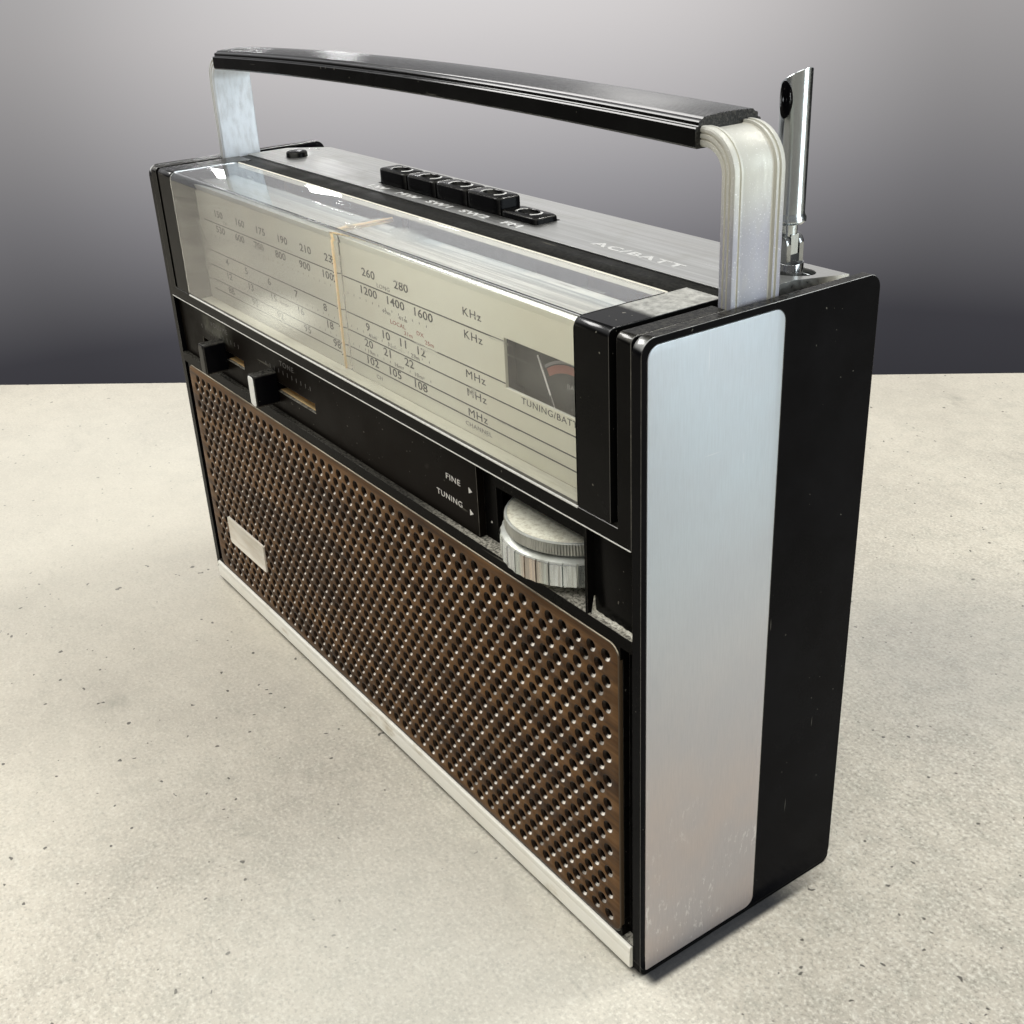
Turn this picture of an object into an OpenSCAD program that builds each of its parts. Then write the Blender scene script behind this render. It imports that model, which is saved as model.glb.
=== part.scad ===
/* [Body] */
// Overall width over the two end panels
body_w = 300; // [296:1:330]
// Height of the end panels
body_h = 186; // [184:1:200]
// Overall depth from front to back
body_d = 77; // [77:1:90]
// Thickness of each end panel
end_t = 3.2; // [2.6:0.1:4]
// Corner radius of the end panels
end_r = 4; // [2:0.5:8]
// Wall of the moulded cabinet and of the rear cover
wall = 2.4; // [2:0.1:2.8]
// Depth of the front moulding, where the rear cover starts
split_d = 40; // [39.5:0.5:41]
// Rounding of the front top edges
edge_r = 2; // [1:0.25:2.5]

/* [Side plates] */
// Bare border around the metal side plate
plate_margin = 1.8; // [1:0.1:4]
// Depth at which the side plate ends
plate_d = 44; // [30:1:60]
// Thickness of the side plate
plate_t = 0.8; // [0.5:0.1:1.2]
// Corner radius of the side plate
plate_r = 3.5; // [2:0.5:6]

/* [Dial] */
// Height of the dial bezel
dial_h = 52.4; // [51:0.1:56]
// Height of the lip under the clear cover
lip_h = 4.4; // [3:0.1:5]
// Thickness of the bezel's floor
floor_t = 1.6; // [1.2:0.1:2.2]
// Width of the bezel's upright stiles
stile_w = 5; // [4:0.1:6]
// Width of the groove between stile and pillar
groove_w = 2.4; // [1.5:0.1:3]
// Depth of that groove
groove_d = 3; // [2:0.25:5]
// Width of the pillars at both ends of the dial
pillar_w = 12.4; // [10:0.2:14]
// Depth of the pillars
pillar_d = 34.5; // [33.5:0.25:35]
// Wall of the clear cover
cover_t = 2.4; // [1.8:0.1:3]
// Depth of the clear cover's top
cover_d = 28; // [27:0.25:28.5]
// Rounding of the clear cover's front edge
cover_r = 3; // [2.5:0.25:4]
// Depth of the printed face of the scale plate
scale_d = 10; // [9:0.25:12]
// Thickness of the scale plate
scale_t = 1; // [0.6:0.1:1.4]
// Drop of the scale plate's shelf below the top
shelf_drop = 5.6; // [5.4:0.1:7]

/* [Pointer] */
// Place of the pointer across the dial
pointer_x = -7; // [-60:1:40]
// Thickness of the pointer's needle and arm
needle_t = 0.8; // [0.6:0.1:1]
// Depth of the needle
needle_d = 7; // [6:0.25:8]
// Depth of the guide rail
rail_d = 30.5; // [30.4:0.1:31]
// Radius of the guide rail
rail_r = 1.2; // [0.8:0.1:1.5]
// Drop of the guide rail below the top
rail_drop = 9; // [8.5:0.25:11]
// Width of the sliding carriage
carriage_w = 10; // [8:0.5:14]

/* [Meter] */
// Border of the scale plate beside the meter's window
meter_edge = 0.6; // [0.5:0.1:6]
// Width of the meter's window
meter_w = 42; // [30:0.5:48]
// Height of the meter's window
meter_h = 14; // [11:0.5:15]
// Height of the window's lower edge above the bezel's foot
meter_z = 21; // [20:0.5:23]
// Resting lean of the meter's needle
meter_lean = 27; // [20:1:30]

/* [Control band] */
// Height of the recessed control band
band_h = 24.6; // [24:0.2:28]
// Depth of the recess
band_recess = 4.5; // [4:0.1:5]
// Thickness of the wall behind the recess
band_wall = 2; // [1.6:0.1:2.4]
// Thickness of the applied control panel
panel_t = 2.5; // [1.5:0.1:3]
// Gap between the control panel and the wheels' window
panel_gap = 6; // [2:0.5:20]
// Length of a slider's slot
slot_w = 40; // [36:1:44]
// Height of a slider's slot
slot_h = 3.6; // [3:0.1:5]
// Height of the slots above the ledge
slot_z = 9.6; // [9:0.1:11]
// Distance of the volume slot's middle from the left end
volume_in = 42.4; // [36:0.2:48]
// Distance from the volume slot to the tone slot
slot_pitch = 60.2; // [56:0.2:66]
// Width of a slider's knob
knob_w = 5.6; // [4.4:0.2:10]
// Height of a slider's knob
knob_h = 12.4; // [10:0.2:15]
// How far a knob stands in front of the cabinet
knob_out = 7.6; // [5:0.2:11]
// Where the volume knob stands, from the middle of its slot
volume_at = 1.7; // [-17:0.1:17]
// Where the tone knob stands, from the middle of its slot
tone_at = -11.6; // [-17:0.1:17]

/* [Tuning wheels] */
// Distance of both wheels' axis from the right end
wheel_in = 41.6; // [41:0.2:50]
// Depth of that axis
wheel_d = 17; // [16:0.25:17.5]
// Radius of the tuning wheel
main_r = 21.9; // [20:0.1:22.2]
// Height of the tuning wheel's rim
main_h = 6.4; // [5:0.1:7]
// Number of flutes round the tuning wheel
flutes = 42; // [24:1:60]
// Radius of the fine wheel
fine_r = 19; // [16:0.1:20]
// Height of the fine wheel
fine_h = 2.9; // [2:0.1:3.4]
// Radius of the common spindle
spindle_r = 3; // [2:0.1:4]
// Height of the tuning wheel's lower face above the ledge
wheel_z = 3.4; // [3.2:0.1:3.8]
// Reach of the wheels' window to the left of their axis
window_side = 21.5; // [21:0.1:24]
// Width of the wheels' window
window_w = 45.2; // [45:0.2:46]
// Thickness of the rib that stands at the right of the window
rib_t = 0.9; // [0.6:0.1:2]
// Height of the wheels' window
window_h = 17.6; // [17:0.1:18.5]

/* [Grille] */
// Groove beside the grille
grille_side = 4.6; // [3:0.2:12]
// Lower edge of the grille
grille_z = 8.8; // [8.6:0.1:10]
// Rail between grille and control band
grille_rail = 3.9; // [3:0.1:6]
// How far the grille stands proud of the front
grille_proud = 0.2; // [0:0.1:0.5]
// Depth of the grooves beside the grille
groove_deep = 3; // [2:0.1:4]
// Thickness of the grille's sheet
grille_t = 1.2; // [0.8:0.1:1.4]
// Corner radius of the grille
grille_r = 4; // [2:0.5:8]
// Radius of the main punched holes
punch_r = 1.4; // [1:0.1:1.6]
// Spacing of the main punched holes along the grille
punch_step_x = 17.97; // [15:0.01:24]
// Spacing of the main punched holes up the grille
punch_step_z = 15.88; // [12:0.01:20]
// Width of the bare nameplate
name_w = 36.9; // [20:0.1:50]
// Height of the bare nameplate
name_h = 12.6; // [8:0.2:20]
// Height of the bottom trim strip
trim_h = 7.5; // [5:0.1:7.7]
// Thickness of the bottom trim strip
trim_t = 1.2; // [0.8:0.1:2]

/* [Top deck] */
// Depth of the deck panel's front edge
deck_d = 39; // [38.5:0.25:40]
// Depth of the deck panel's level part
deck_flat = 18; // [17.5:0.25:20]
// Fall of the deck panel towards the rear
deck_fall = 2.3; // [1:0.1:2.6]
// Thickness of the deck panel
deck_t = 1.2; // [0.8:0.1:1.5]
// Room between a handle arm and the deck's side wall
arm_room = 1.2; // [0.8:0.1:1.3]
// Drop of the black strip below the top
strip_drop = 1.4; // [0.8:0.1:1.6]

/* [Buttons] */
// Middle of the row of buttons
button_x = 1; // [-2:0.5:2]
// Depth of the buttons' front faces
button_d = 47; // [46.5:0.25:47]
// Distance from button to button
button_pitch = 18.8; // [18.4:0.1:19]
// Depth of one button
button_deep = 8.8; // [7:0.1:9]
// Height of a raised button over the deck
button_h = 5; // [4:0.1:6]
// Travel of a button
button_travel = 3.2; // [2:0.1:3.6]
// Distance of the dial light button from the deck's left side
light_in = 21.8; // [20:0.2:30]
// Radius of the dial light button
light_r = 4.2; // [3:0.1:5]

/* [Handle] */
// Depth of the handle's pivot
pivot_d = 37.5; // [37:0.25:38]
// Drop of the pivot below the top
pivot_drop = 14; // [13:0.5:15]
// Radius of the pivot pins
pivot_r = 2.5; // [2:0.1:3.5]
// Width of a handle arm
arm_w = 16; // [14:0.5:17]
// Thickness of a handle arm
arm_t = 4.4; // [3.6:0.1:4.8]
// Rise of the arms over the top
arm_rise = 38.8; // [34:0.2:60]
// Outer radius of the bend at the top of an arm
bend_r = 10; // [8:0.5:11]
// Depth of the grip
grip_deep = 20; // [18:0.5:26]
// Thickness of the grip
grip_t = 7; // [6:0.1:10]
// Rise of the grip's middle
grip_arch = 2.4; // [0:0.1:5]

/* [Antenna] */
// Distance of the antenna from the deck's right side
antenna_in = 10.3; // [10.1:0.1:14]
// Distance of the antenna from the back
antenna_back = 12.5; // [11.5:0.25:13]
// Radius of the outer tube
tube_r = 3.5; // [3.4:0.1:3.8]
// Length of the outer tube
tube_l = 34; // [30:1:60]
// Step in radius from one section to the next
tube_step = 0.6; // [0.5:0.05:0.65]
// Radius of the recessed cup
cup_r = 8; // [7:0.1:8.2]

/* [Speaker] */
// Distance of the speaker's middle from the left end
speaker_in = 74.6; // [60:0.2:90]
// Border between the speaker's flange and the grille's edges
speaker_border = 2; // [1:0.25:8]

/* [Power] */
// Play of a battery cell in its tray
cell_play = 1.4; // [0.8:0.1:3]
// Length of a battery cell
cell_l = 60.5; // [50:0.5:61]

/* [Hidden] */
$fn = 48;

// Assembly gap between fixed pieces, running clearance of shafts, and gap beside moving pieces
fit = 0.2;
run = 0.05;
gap = 0.3;
// Length by which a cut passes a face
past = 1;

// Half width outside and between the end panels
half = body_w / 2;
in_x = half - end_t - fit;
// Foot of the dial bezel and ledge of the control band
dial_z = body_h - dial_h;
band_z = dial_z - band_h;
// Back of the front wall
front_t = band_recess + band_wall;
// Side faces of the pillars and the foot of pillars and cover
pillar_x1 = in_x - stile_w - groove_w - fit;
pillar_x0 = pillar_x1 - pillar_w;
window_foot = dial_z + lip_h + fit;
// Half width of what lies between the pillars
dial_x = pillar_x0 - fit;
shelf_z = body_h - shelf_drop;
shelf_d = cover_d - 1.5;
floor_z = dial_z + floor_t;
// Sides of the meter's window, and its pivot between them
meter_x1 = dial_x - meter_edge;
meter_x0 = meter_x1 - meter_w;
meter_x = meter_x1 - meter_w / 2;

// Handle: faces of the right arm, its pivot and the slot that it folds into
arm_x1 = half - end_t - 0.4;
arm_x0 = arm_x1 - arm_t;
arm_top = body_h + arm_rise;
pivot_z = body_h - pivot_drop;
arm_r = arm_w / 2;
stile_d = pivot_d - arm_r - 1;
slot_floor = pivot_z - arm_r - 2;
slot_x = arm_x0 - arm_room;
deck_x = slot_x - 0.4;
slot_wall = slot_x - pillar_x1 - fit;
bend_x = arm_x1 - bend_r;
bend_z = arm_top - bend_r;
grip_x = bend_x - 1;
grip_z = arm_top - arm_t - 0.4;
grip_d = pivot_d - grip_deep / 2 + 0.5;
tongue_l = 10;
tongue_t = 2;

// Deck: rear edge, underside at the rear and drop at a depth on its slope
deck_d1 = body_d - 0.4;
deck_under = body_h - deck_fall - deck_t - fit;
function deck_z(d) = body_h - max(0, deck_fall * (d - deck_d - deck_flat) / (deck_d1 - deck_d - deck_flat));

// Pointer: arm over the shelf, rail under the black strip, cord guides at the rail's ends
rail_z = body_h - rail_drop;
arm_low = shelf_z + 1;
carriage_d = 2.5;
guide_r = 4;
guide_x = dial_x - 7;
guide_z = rail_z - 7;
cord_d = 36;
cord_t = 0.8;
drum_x = 10;
drum_z = dial_z + 5.4;
drum_r = 24;
drum_t = 2.4;
shaft_r = 3;
shaft_l = 20;
tuner_w = 36;
tuner_d = cord_d + 8;

// Wheels: axis, sides of their window, stacked faces on the spindle
wheel_x = in_x - wheel_in;
window_x = wheel_x - window_side;
rib_x = window_x + window_w;
panel_x = window_x - panel_gap;
main_z = band_z + wheel_z;
hub_z = main_z - 1.9;
fine_z = main_z + main_h + 2.2;
clip_z = fine_z + fine_h + 0.5;
bracket_z = hub_z - gap;

// Front dress: foot of the trim strip, side and holes of the grille, corner of the nameplate, meter's pivot
trim_z0 = 0.6;
grille_x = in_x - grille_side;
grille_back = grille_t - grille_proud;
punch_x = grille_x - 5.2;
punch_z = band_z - grille_rail - 4.8;
punch_columns = floor((punch_x + grille_x - 5) / punch_step_x);
punch_rows = floor((punch_z - grille_z - 5) / punch_step_z);
name_x = 18.2 - grille_x;
name_z = grille_z + 18.4;
trim_seat = 0.2;
meter_pivot_z = dial_z + meter_z - 4.6;

// Sliders: middles and height of the slots, and width of a stem
volume_x = volume_in - in_x;
tone_x = volume_x + slot_pitch;
stem_w = 4;
slider_z = band_z + slot_z;

// Interior: circuit board, switch under the buttons, antenna joint heights
board_d = body_d - 11;
board_t = 1.6;
board_z1 = body_h - 8;
board_x0 = 20.6 - in_x;
board_x1 = in_x - 46.6;
switch_z0 = body_h - 27;
switch_z1 = body_h - 10;
cap_foot = body_h - 4;
stem_foot = body_h - 20;
button_n = 5;
button_half = button_pitch / 2 - 0.2;
light_x = light_in - slot_x;
light_d = 50.8;
antenna_x = slot_x - antenna_in;
antenna_d = body_d - antenna_back;
cup_z0 = body_h - 14;
tilt_z = body_h + 6;
collar_z = tilt_z + 5;
tube_z = collar_z + 2.5;

// Power: battery tray, its door and the screws of the rear cover
tray_x = 1.5 * cell_l + 2;
tray_z0 = wall + fit;
tray_t = 1.6;
tray_d0 = 38;
tray_d1 = body_d - wall - 0.8;
cell_r = (tray_d1 - tray_d0 - tray_t - cell_play) / 2;
tray_z1 = tray_z0 + 2 * tray_t + 4 * cell_r + 3 * gap;
door_x = tray_x + 1;
hinge_d = body_d - wall / 2;
hinge_z = wall + 0.6 + wall / 2 + gap;
door_z1 = tray_z1 + 1;
board_z0 = tray_z1 + 5.7;
screw_x = in_x - 8.1;
screw_z = [46, band_z + 15];
screw_r = 1.5;
inlet_x = in_x - 24.6;
inlet_z = 59;
core_w = 28;
core_h = 36;
core_d = 22;
bobbin_d = 30;
core_x1 = in_x - wall - 3;

// Components: cans and capacitors on the board, ferrite rod and its formers
can_w = 10;
can_d = 14;
can_x = [board_x0 + 31, board_x0 + 51, board_x0 + 71, board_x0 + 91, board_x1 - 50, board_x1 - 30];
part_r = 6;
part_d = 20;
part_x = [board_x0 + 26, board_x0 + 48, board_x0 + 70, board_x1 - 42, board_x1 - 20];
rod_r = 5;
rod_x0 = board_x0 + 21;
rod_x1 = board_x1 - 30;
rod_d = board_d - 11;
rod_z = board_z0 + 10;
former_l = 28;
former_x = [rod_x0 + 31, rod_x1 - 74];
holder_x = [rod_x0 + 21, rod_x1 - 29];
holder_w = 8;
can_z = board_z0 + 26;
part_z = board_z0 + 56;
former_t = 1.4;

// Loudspeaker: middle and flange, depth of its basket and of its magnet
speaker_x = speaker_in - in_x;
speaker_z = (grille_z + band_z - grille_rail) / 2;
speaker_r = speaker_z - grille_z - speaker_border;
basket_d = 25.4;
basket_r = 24;
magnet_d = tray_d0 - 0.6;
magnet_r = 26;

// Depth measured back from the front face
function yd(d) = d - body_d / 2;

// Plain block between its limits, with depth measured from the front
module slab(x0, x1, d0, d1, z0, z1) {
    translate([x0, yd(d0), z0]) cube([x1 - x0, d1 - d0, z1 - z0]);
}

// Front view outline carried from one depth to another
module through_y(d0, d1) {
    translate([0, yd(d1), 0]) rotate([90, 0, 0]) linear_extrude(d1 - d0) children();
}

// Side view outline carried from one width to another
module through_x(x0, x1) {
    translate([x0, 0, 0]) rotate([90, 0, 90]) linear_extrude(x1 - x0) children();
}

// Round bar along the width, along the depth, or upright
module bar_x(x0, x1, d, z, r) {
    translate([x0, yd(d), z]) rotate([0, 90, 0]) cylinder(h = x1 - x0, r = r);
}
module bar_y(x, d0, d1, z, r) {
    translate([x, yd(d1), z]) rotate([90, 0, 0]) cylinder(h = d1 - d0, r = r);
}
module bar_z(x, d, z0, z1, r) {
    translate([x, yd(d), z0]) cylinder(h = z1 - z0, r = r);
}

// Ring or cone turned about an axis along the depth
module turned_y(x, z) {
    translate([x, yd(0), z]) rotate([-90, 0, 0]) rotate_extrude() children();
}

module pair() {
    children();
    mirror([1, 0, 0]) children();
}

module round_rect(u0, u1, v0, v1, r) {
    translate([u0 + r, v0]) square([u1 - u0 - 2 * r, v1 - v0]);
    translate([u0, v0 + r]) square([u1 - u0, v1 - v0 - 2 * r]);
    for (u = [u0 + r, u1 - r], v = [v0 + r, v1 - r]) translate([u, v]) circle(r);
}

// Side outline with its front top corner rounded
module crowned(d0, d1, z0, z1, r) {
    translate([yd(d0), z0]) square([d1 - d0, z1 - z0 - r]);
    translate([yd(d0) + r, z0]) square([d1 - d0 - r, z1 - z0]);
    translate([yd(d0) + r, z1 - r]) circle(r);
}

module plate_outline(inset) {
    m = plate_margin + inset;
    round_rect(yd(m), yd(plate_d) - inset, m, body_h - m, plate_r - inset);
}

// Moulded end panel with the pocket that takes its metal plate
module end_panel() {
    difference() {
        through_x(half - end_t, half) round_rect(yd(0), yd(body_d), 0, body_h, end_r);
        through_x(half - plate_t, half + past) plate_outline(0);
    }
}

module side_plate() {
    through_x(half - plate_t, half) plate_outline(0.1);
}

module end_panel_right() { color("#141416") end_panel(); }
module end_panel_left() { color("#141416") mirror([1, 0, 0]) end_panel(); }
module side_plate_right() { color("#b4bec6") side_plate(); }
module side_plate_left() { color("#b4bec6") mirror([1, 0, 0]) side_plate(); }

// Front moulding: grille recess, control band, wheel window and its rib, slider slots and screw posts
module front_cabinet() {
    grille_top = band_z - grille_rail + fit;
    top_wall_d = 20;
    post_d1 = body_d - wall - fit;
    color("#17171a") difference() {
        union() {
            difference() {
                slab(-in_x, in_x, 0, split_d, 0, dial_z - fit);
                slab(-in_x + wall, in_x - wall, front_t, split_d + past, wall, dial_z - fit - wall);
                slab(-in_x + wall, in_x - wall, top_wall_d, split_d + past, wall, dial_z + past);
            }
            for (x = [-screw_x, screw_x], z = screw_z) bar_y(x, front_t - fit, post_d1, z, 3.4);
        }
        slab(-half, rib_x, -past, band_recess, band_z, dial_z + past);
        slab(rib_x + rib_t, half, -past, band_recess, band_z, dial_z + past);
        slab(window_x, rib_x, 0, front_t + past, band_z, band_z + window_h);
        for (x = [volume_x, tone_x]) slider_slot(x, 0, front_t + past);
        through_y(-past, grille_back)
            round_rect(-grille_x - fit, grille_x + fit, grille_z - fit, grille_top, grille_r);
        pair() slab(grille_x + fit, half, -past, groove_deep, grille_z - fit, grille_top);
        bar_y(speaker_x, 0, front_t + past, speaker_z, speaker_r - 4);
        slab(-half, half, -past, trim_seat, trim_z0 - fit, trim_z0 + trim_h + fit);
        for (x = [-screw_x, screw_x], z = screw_z) bar_y(x, body_d - 16, body_d, z, screw_r + run);
    }
}

module slider_slot(x, d0, d1) {
    slab(x - slot_w / 2, x + slot_w / 2, d0, d1, slider_z - slot_h / 2, slider_z + slot_h / 2);
}

// Rear moulding: back wall, floor, sides, and the open slots that the handle folds into
module rear_cover() {
    post_x = [board_x0 + 10, board_x1 - 8];
    color("#1a1a1c") difference() {
        union() {
            slab(-in_x, in_x, body_d - wall, body_d, 0, slot_floor);
            slab(-slot_x, slot_x, body_d - wall, body_d, 0, deck_under);
            slab(-in_x, in_x, split_d + fit, body_d, 0, wall);
            pair() slab(in_x - wall, in_x, split_d + fit, body_d, 0, slot_floor);
            pair() slab(pillar_x1 + fit, in_x, stile_d + gap, body_d, slot_floor - wall, slot_floor);
            pair() slab(slot_x - slot_wall, slot_x, pillar_d + fit, body_d, slot_floor - wall, deck_under);
            for (x = post_x, z = [board_z0 + 6, board_z1 - 8])
                bar_y(x, board_d + board_t + 0.1, body_d - past, z, 3);
        }
        slab(-door_x - fit, door_x + fit, body_d - wall - past, body_d + past, wall + 0.6, door_z1 + fit);
        bar_x(-door_x - 2.5, door_x + 2.5, hinge_d, hinge_z, 0.6 + run);
        slab(inlet_x - 11.2, inlet_x + 11.2, body_d - wall - past, body_d + past, inlet_z - 7.2, inlet_z + 7.2);
        for (i = [0:5])
            slab(-70, 60, body_d - wall - past, body_d + past, door_z1 + 30 + 7 * i, door_z1 + 33 + 7 * i);
        for (x = [-screw_x, screw_x], z = screw_z) {
            bar_y(x, body_d - wall - past, body_d + past, z, screw_r + run);
            bar_y(x, body_d - 1.5, body_d + past, z, 3 + fit);
        }
    }
}

module rear_screws() {
    color("#8f9194") for (x = [-screw_x, screw_x], z = screw_z) difference() {
        union() {
            bar_y(x, body_d - 15, body_d - 1.4, z, screw_r);
            bar_y(x, body_d - 1.5, body_d - 0.2, z, 3);
        }
        slab(x - 2.4, x + 2.4, body_d - 0.9, body_d, z - 0.4, z + 0.4);
        slab(x - 0.4, x + 0.4, body_d - 0.9, body_d, z - 2.4, z + 2.4);
    }
}

// Dial frame: lip and floor below, stiles with a groove at both ends
module dial_bezel() {
    color("#161618") {
        slab(-in_x, in_x, 0, cover_t, dial_z, dial_z + lip_h);
        slab(-in_x, in_x, 0, scale_d + scale_t + 4, dial_z, floor_z);
        pair() through_x(in_x - stile_w, in_x) crowned(0, stile_d, dial_z, body_h, edge_r);
        pair() through_x(in_x - stile_w - groove_w, in_x)
            crowned(groove_d, stile_d, dial_z, body_h - groove_d, edge_r);
    }
}

module pillar() {
    difference() {
        through_x(pillar_x0, pillar_x1) crowned(0, pillar_d, window_foot, body_h, edge_r);
        slab(pillar_x0 + wall, pillar_x1 - wall, wall, pillar_d + past, window_foot + wall, body_h - wall);
    }
}

module pillar_right() { color("#18181a") pillar(); }
module pillar_left() { color("#18181a") mirror([1, 0, 0]) pillar(); }

// Clear moulding that closes the dial in front and above
module dial_cover() {
    color("#dfe6e4", 0.35) through_x(-dial_x, dial_x) difference() {
        crowned(0, cover_d, window_foot, body_h, cover_r);
        translate([yd(cover_t), window_foot - past])
            square([cover_d, body_h - cover_t - window_foot + past]);
    }
}

// Printed sheet: upright scale with the meter's window, folded back into a shelf
module scale_plate() {
    meter_foot = dial_z + meter_z;
    color("#d8d3bd") difference() {
        union() {
            slab(-dial_x, dial_x, scale_d, scale_d + scale_t, floor_z + fit, shelf_z);
            slab(-dial_x, dial_x, scale_d, shelf_d, shelf_z - scale_t, shelf_z);
        }
        slab(meter_x0, meter_x1, 0, scale_d + scale_t + past, meter_foot, meter_foot + meter_h);
    }
}

// Guide rod with an end block at each pillar that carries a cord guide
module pointer_rail() {
    color("#c9c9c4") {
        bar_x(-dial_x, dial_x, rail_d, rail_z, rail_r);
        pair() slab(dial_x - 4, dial_x, rail_d - 2, rail_d + 2, guide_z - 2, rail_z + 2);
        pair() slab(guide_x - 2, dial_x, rail_d - 2, rail_d + 2, guide_z - 2, guide_z + 2);
        pair() bar_y(guide_x, rail_d - 2, cord_d + 1.4, guide_z, guide_r);
    }
}

// Needle before the scale, arm over the shelf, carriage on the rail, clamp at the cord
module pointer() {
    x0 = pointer_x - needle_t / 2;
    x1 = pointer_x + needle_t / 2;
    w = carriage_w / 2;
    color("#e8c98e") difference() {
        union() {
            slab(x0, x1, needle_d, needle_d + needle_t, floor_z + 2, arm_low + needle_t);
            slab(x0, x1, needle_d, rail_d, arm_low, arm_low + needle_t);
            slab(pointer_x - w, pointer_x + w, rail_d - carriage_d, rail_d + carriage_d,
                 rail_z - 2.5, arm_low + needle_t);
            slab(pointer_x - 1.5, pointer_x + 1.5, rail_d, cord_d - cord_t / 2 - gap, rail_z - 3.2, rail_z);
        }
        bar_x(pointer_x - carriage_w, pointer_x + carriage_w, rail_d, rail_z, rail_r + run);
    }
}

// Cord loop over both guides and under the drum
module cord_loop(grow) {
    hull() {
        for (x = [-guide_x, guide_x]) translate([x, guide_z]) circle(guide_r + grow, $fn = 32);
        translate([drum_x, drum_z]) circle(drum_r + grow, $fn = 64);
    }
}

module dial_cord() {
    color("#5b5348") through_y(cord_d - cord_t / 2, cord_d + cord_t / 2) difference() {
        cord_loop(gap + cord_t);
        cord_loop(gap);
    }
}

module dial_drum() {
    color("#cfcabd") difference() {
        union() {
            bar_y(drum_x, cord_d - drum_t / 2, cord_d + drum_t / 2, drum_z, drum_r);
            bar_y(drum_x, cord_d - drum_t / 2 - 1, cord_d + shaft_l, drum_z, shaft_r);
            bar_y(drum_x, cord_d - drum_t / 2 - 1, cord_d + drum_t / 2 + 2, drum_z, 7);
        }
        for (a = [0:120:240])
            translate([drum_x + 15 * cos(a), 0, drum_z + 15 * sin(a)])
                bar_y(0, cord_d - past - drum_t, cord_d + past + drum_t, 0, 5);
    }
}

module tuning_capacitor() {
    w = tuner_w / 2;
    color("#a9adb0") difference() {
        slab(drum_x - w, drum_x + w, tuner_d, board_d - 0.1, drum_z - w, drum_z + w);
        bar_y(drum_x, tuner_d - past, cord_d + shaft_l + past, drum_z, shaft_r + run);
    }
}

// Open-fronted case behind the scale with a pivot pin for the needle
module meter_housing() {
    d0 = scale_d + scale_t + 0.1;
    x0 = meter_x0 - 1.5;
    x1 = meter_x1 + meter_edge;
    z0 = dial_z + meter_z - 8;
    z1 = dial_z + meter_z + meter_h + 2;
    color("#2a2a2c") {
        difference() {
            slab(x0, x1, d0, d0 + 9, z0, z1);
            slab(x0 + 1.2, x1 - 1.2, d0 - past, d0 + 5, z0 + 1.2, z1 - 1.2);
        }
        bar_y(meter_x, d0 + 0.6, d0 + 6, meter_pivot_z, 1);
    }
}

module meter_needle() {
    d0 = scale_d + scale_t + 1.5;
    reach = meter_h + meter_z + dial_z - meter_pivot_z - 1;
    color("#e6dfc6") difference() {
        translate([meter_x, yd(d0), meter_pivot_z]) rotate([0, -meter_lean, 0]) {
            translate([-0.4, 0, 0]) cube([0.8, 0.6, reach]);
            rotate([-90, 0, 0]) cylinder(h = 0.6, r = 2);
        }
        bar_y(meter_x, d0 - past, d0 + past, meter_pivot_z, 1 + run);
    }
}

// Applied panel on the left of the control band
module control_panel() {
    color("#19161a") difference() {
        slab(-in_x, panel_x, band_recess - panel_t, band_recess, band_z + 0.1, dial_z - 1.6);
        for (x = [volume_x, tone_x]) slider_slot(x, 0, band_recess + past);
    }
}

// Upright blade on a flat stem that runs in the slot
module slider_knob(x) {
    back = band_recess - panel_t - 0.5;
    w = knob_w / 2;
    h = knob_h / 2;
    color("#0e0e10") {
        through_y(-knob_out, back) round_rect(x - w, x + w, slider_z - h, slider_z + h, 1.2);
        slab(x - stem_w / 2 + run, x + stem_w / 2 - run, back - past, front_t + 3.5,
             slider_z - slot_h / 2 + gap, slider_z + slot_h / 2 - gap);
    }
}

module volume_knob() { slider_knob(volume_x + volume_at); }
module tone_knob() { slider_knob(tone_x + tone_at); }

module slide_pots() {
    color("#b98a48") for (x = [volume_x, tone_x]) difference() {
        slab(x - slot_w / 2 - 6, x + slot_w / 2 + 6, front_t + 0.1, front_t + 8,
             slider_z - 5, slider_z + 5);
        slider_slot(x, front_t - past, front_t + 5);
    }
}

// Lower wheel: bevelled disc with flutes round its rim and a plain hub
module tuning_wheel() {
    flute_w = 0.7;
    color("#c8c9c4") translate([wheel_x, yd(wheel_d), 0]) difference() {
        union() {
            translate([0, 0, hub_z]) cylinder(h = fine_z - gap - hub_z, r = 8);
            translate([0, 0, main_z]) rotate_extrude()
                polygon([[0, 0], [main_r, 0], [main_r, main_h - 1], [main_r - 0.6, main_h],
                         [fine_r - 0.6, main_h + 1.2], [0, main_h + 1.2]]);
        }
        for (i = [0 : flutes - 1])
            rotate([0, 0, 360 * i / flutes]) translate([main_r - 0.5, -flute_w / 2, main_z - past])
                cube([2, flute_w, main_h + past - 1]);
        translate([0, 0, hub_z - past]) cylinder(h = fine_z - hub_z + past, r = spindle_r + run);
    }
}

module fine_wheel() {
    color("#cdcabb") translate([wheel_x, yd(wheel_d), fine_z]) difference() {
        rotate_extrude()
            polygon([[0, 0], [fine_r, 0], [fine_r, fine_h - 0.5], [fine_r - 0.5, fine_h], [0, fine_h]]);
        translate([0, 0, -past]) cylinder(h = fine_h + 2 * past, r = spindle_r + run);
    }
}

// Angle bracket on the front wall with the spindle and its retaining head
module wheel_bracket() {
    color("#9a9c9e") {
        slab(wheel_x - 15, wheel_x + 15, front_t + 0.1, wheel_d + 12, bracket_z - 1.6, bracket_z);
        slab(wheel_x - 15, wheel_x + 15, front_t + 0.1, front_t + 1.7, bracket_z - 16, bracket_z);
        bar_z(wheel_x, wheel_d, bracket_z - past, clip_z + 1.2, spindle_r);
        bar_z(wheel_x, wheel_d, clip_z, clip_z + 1.2, 5);
    }
}

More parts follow.
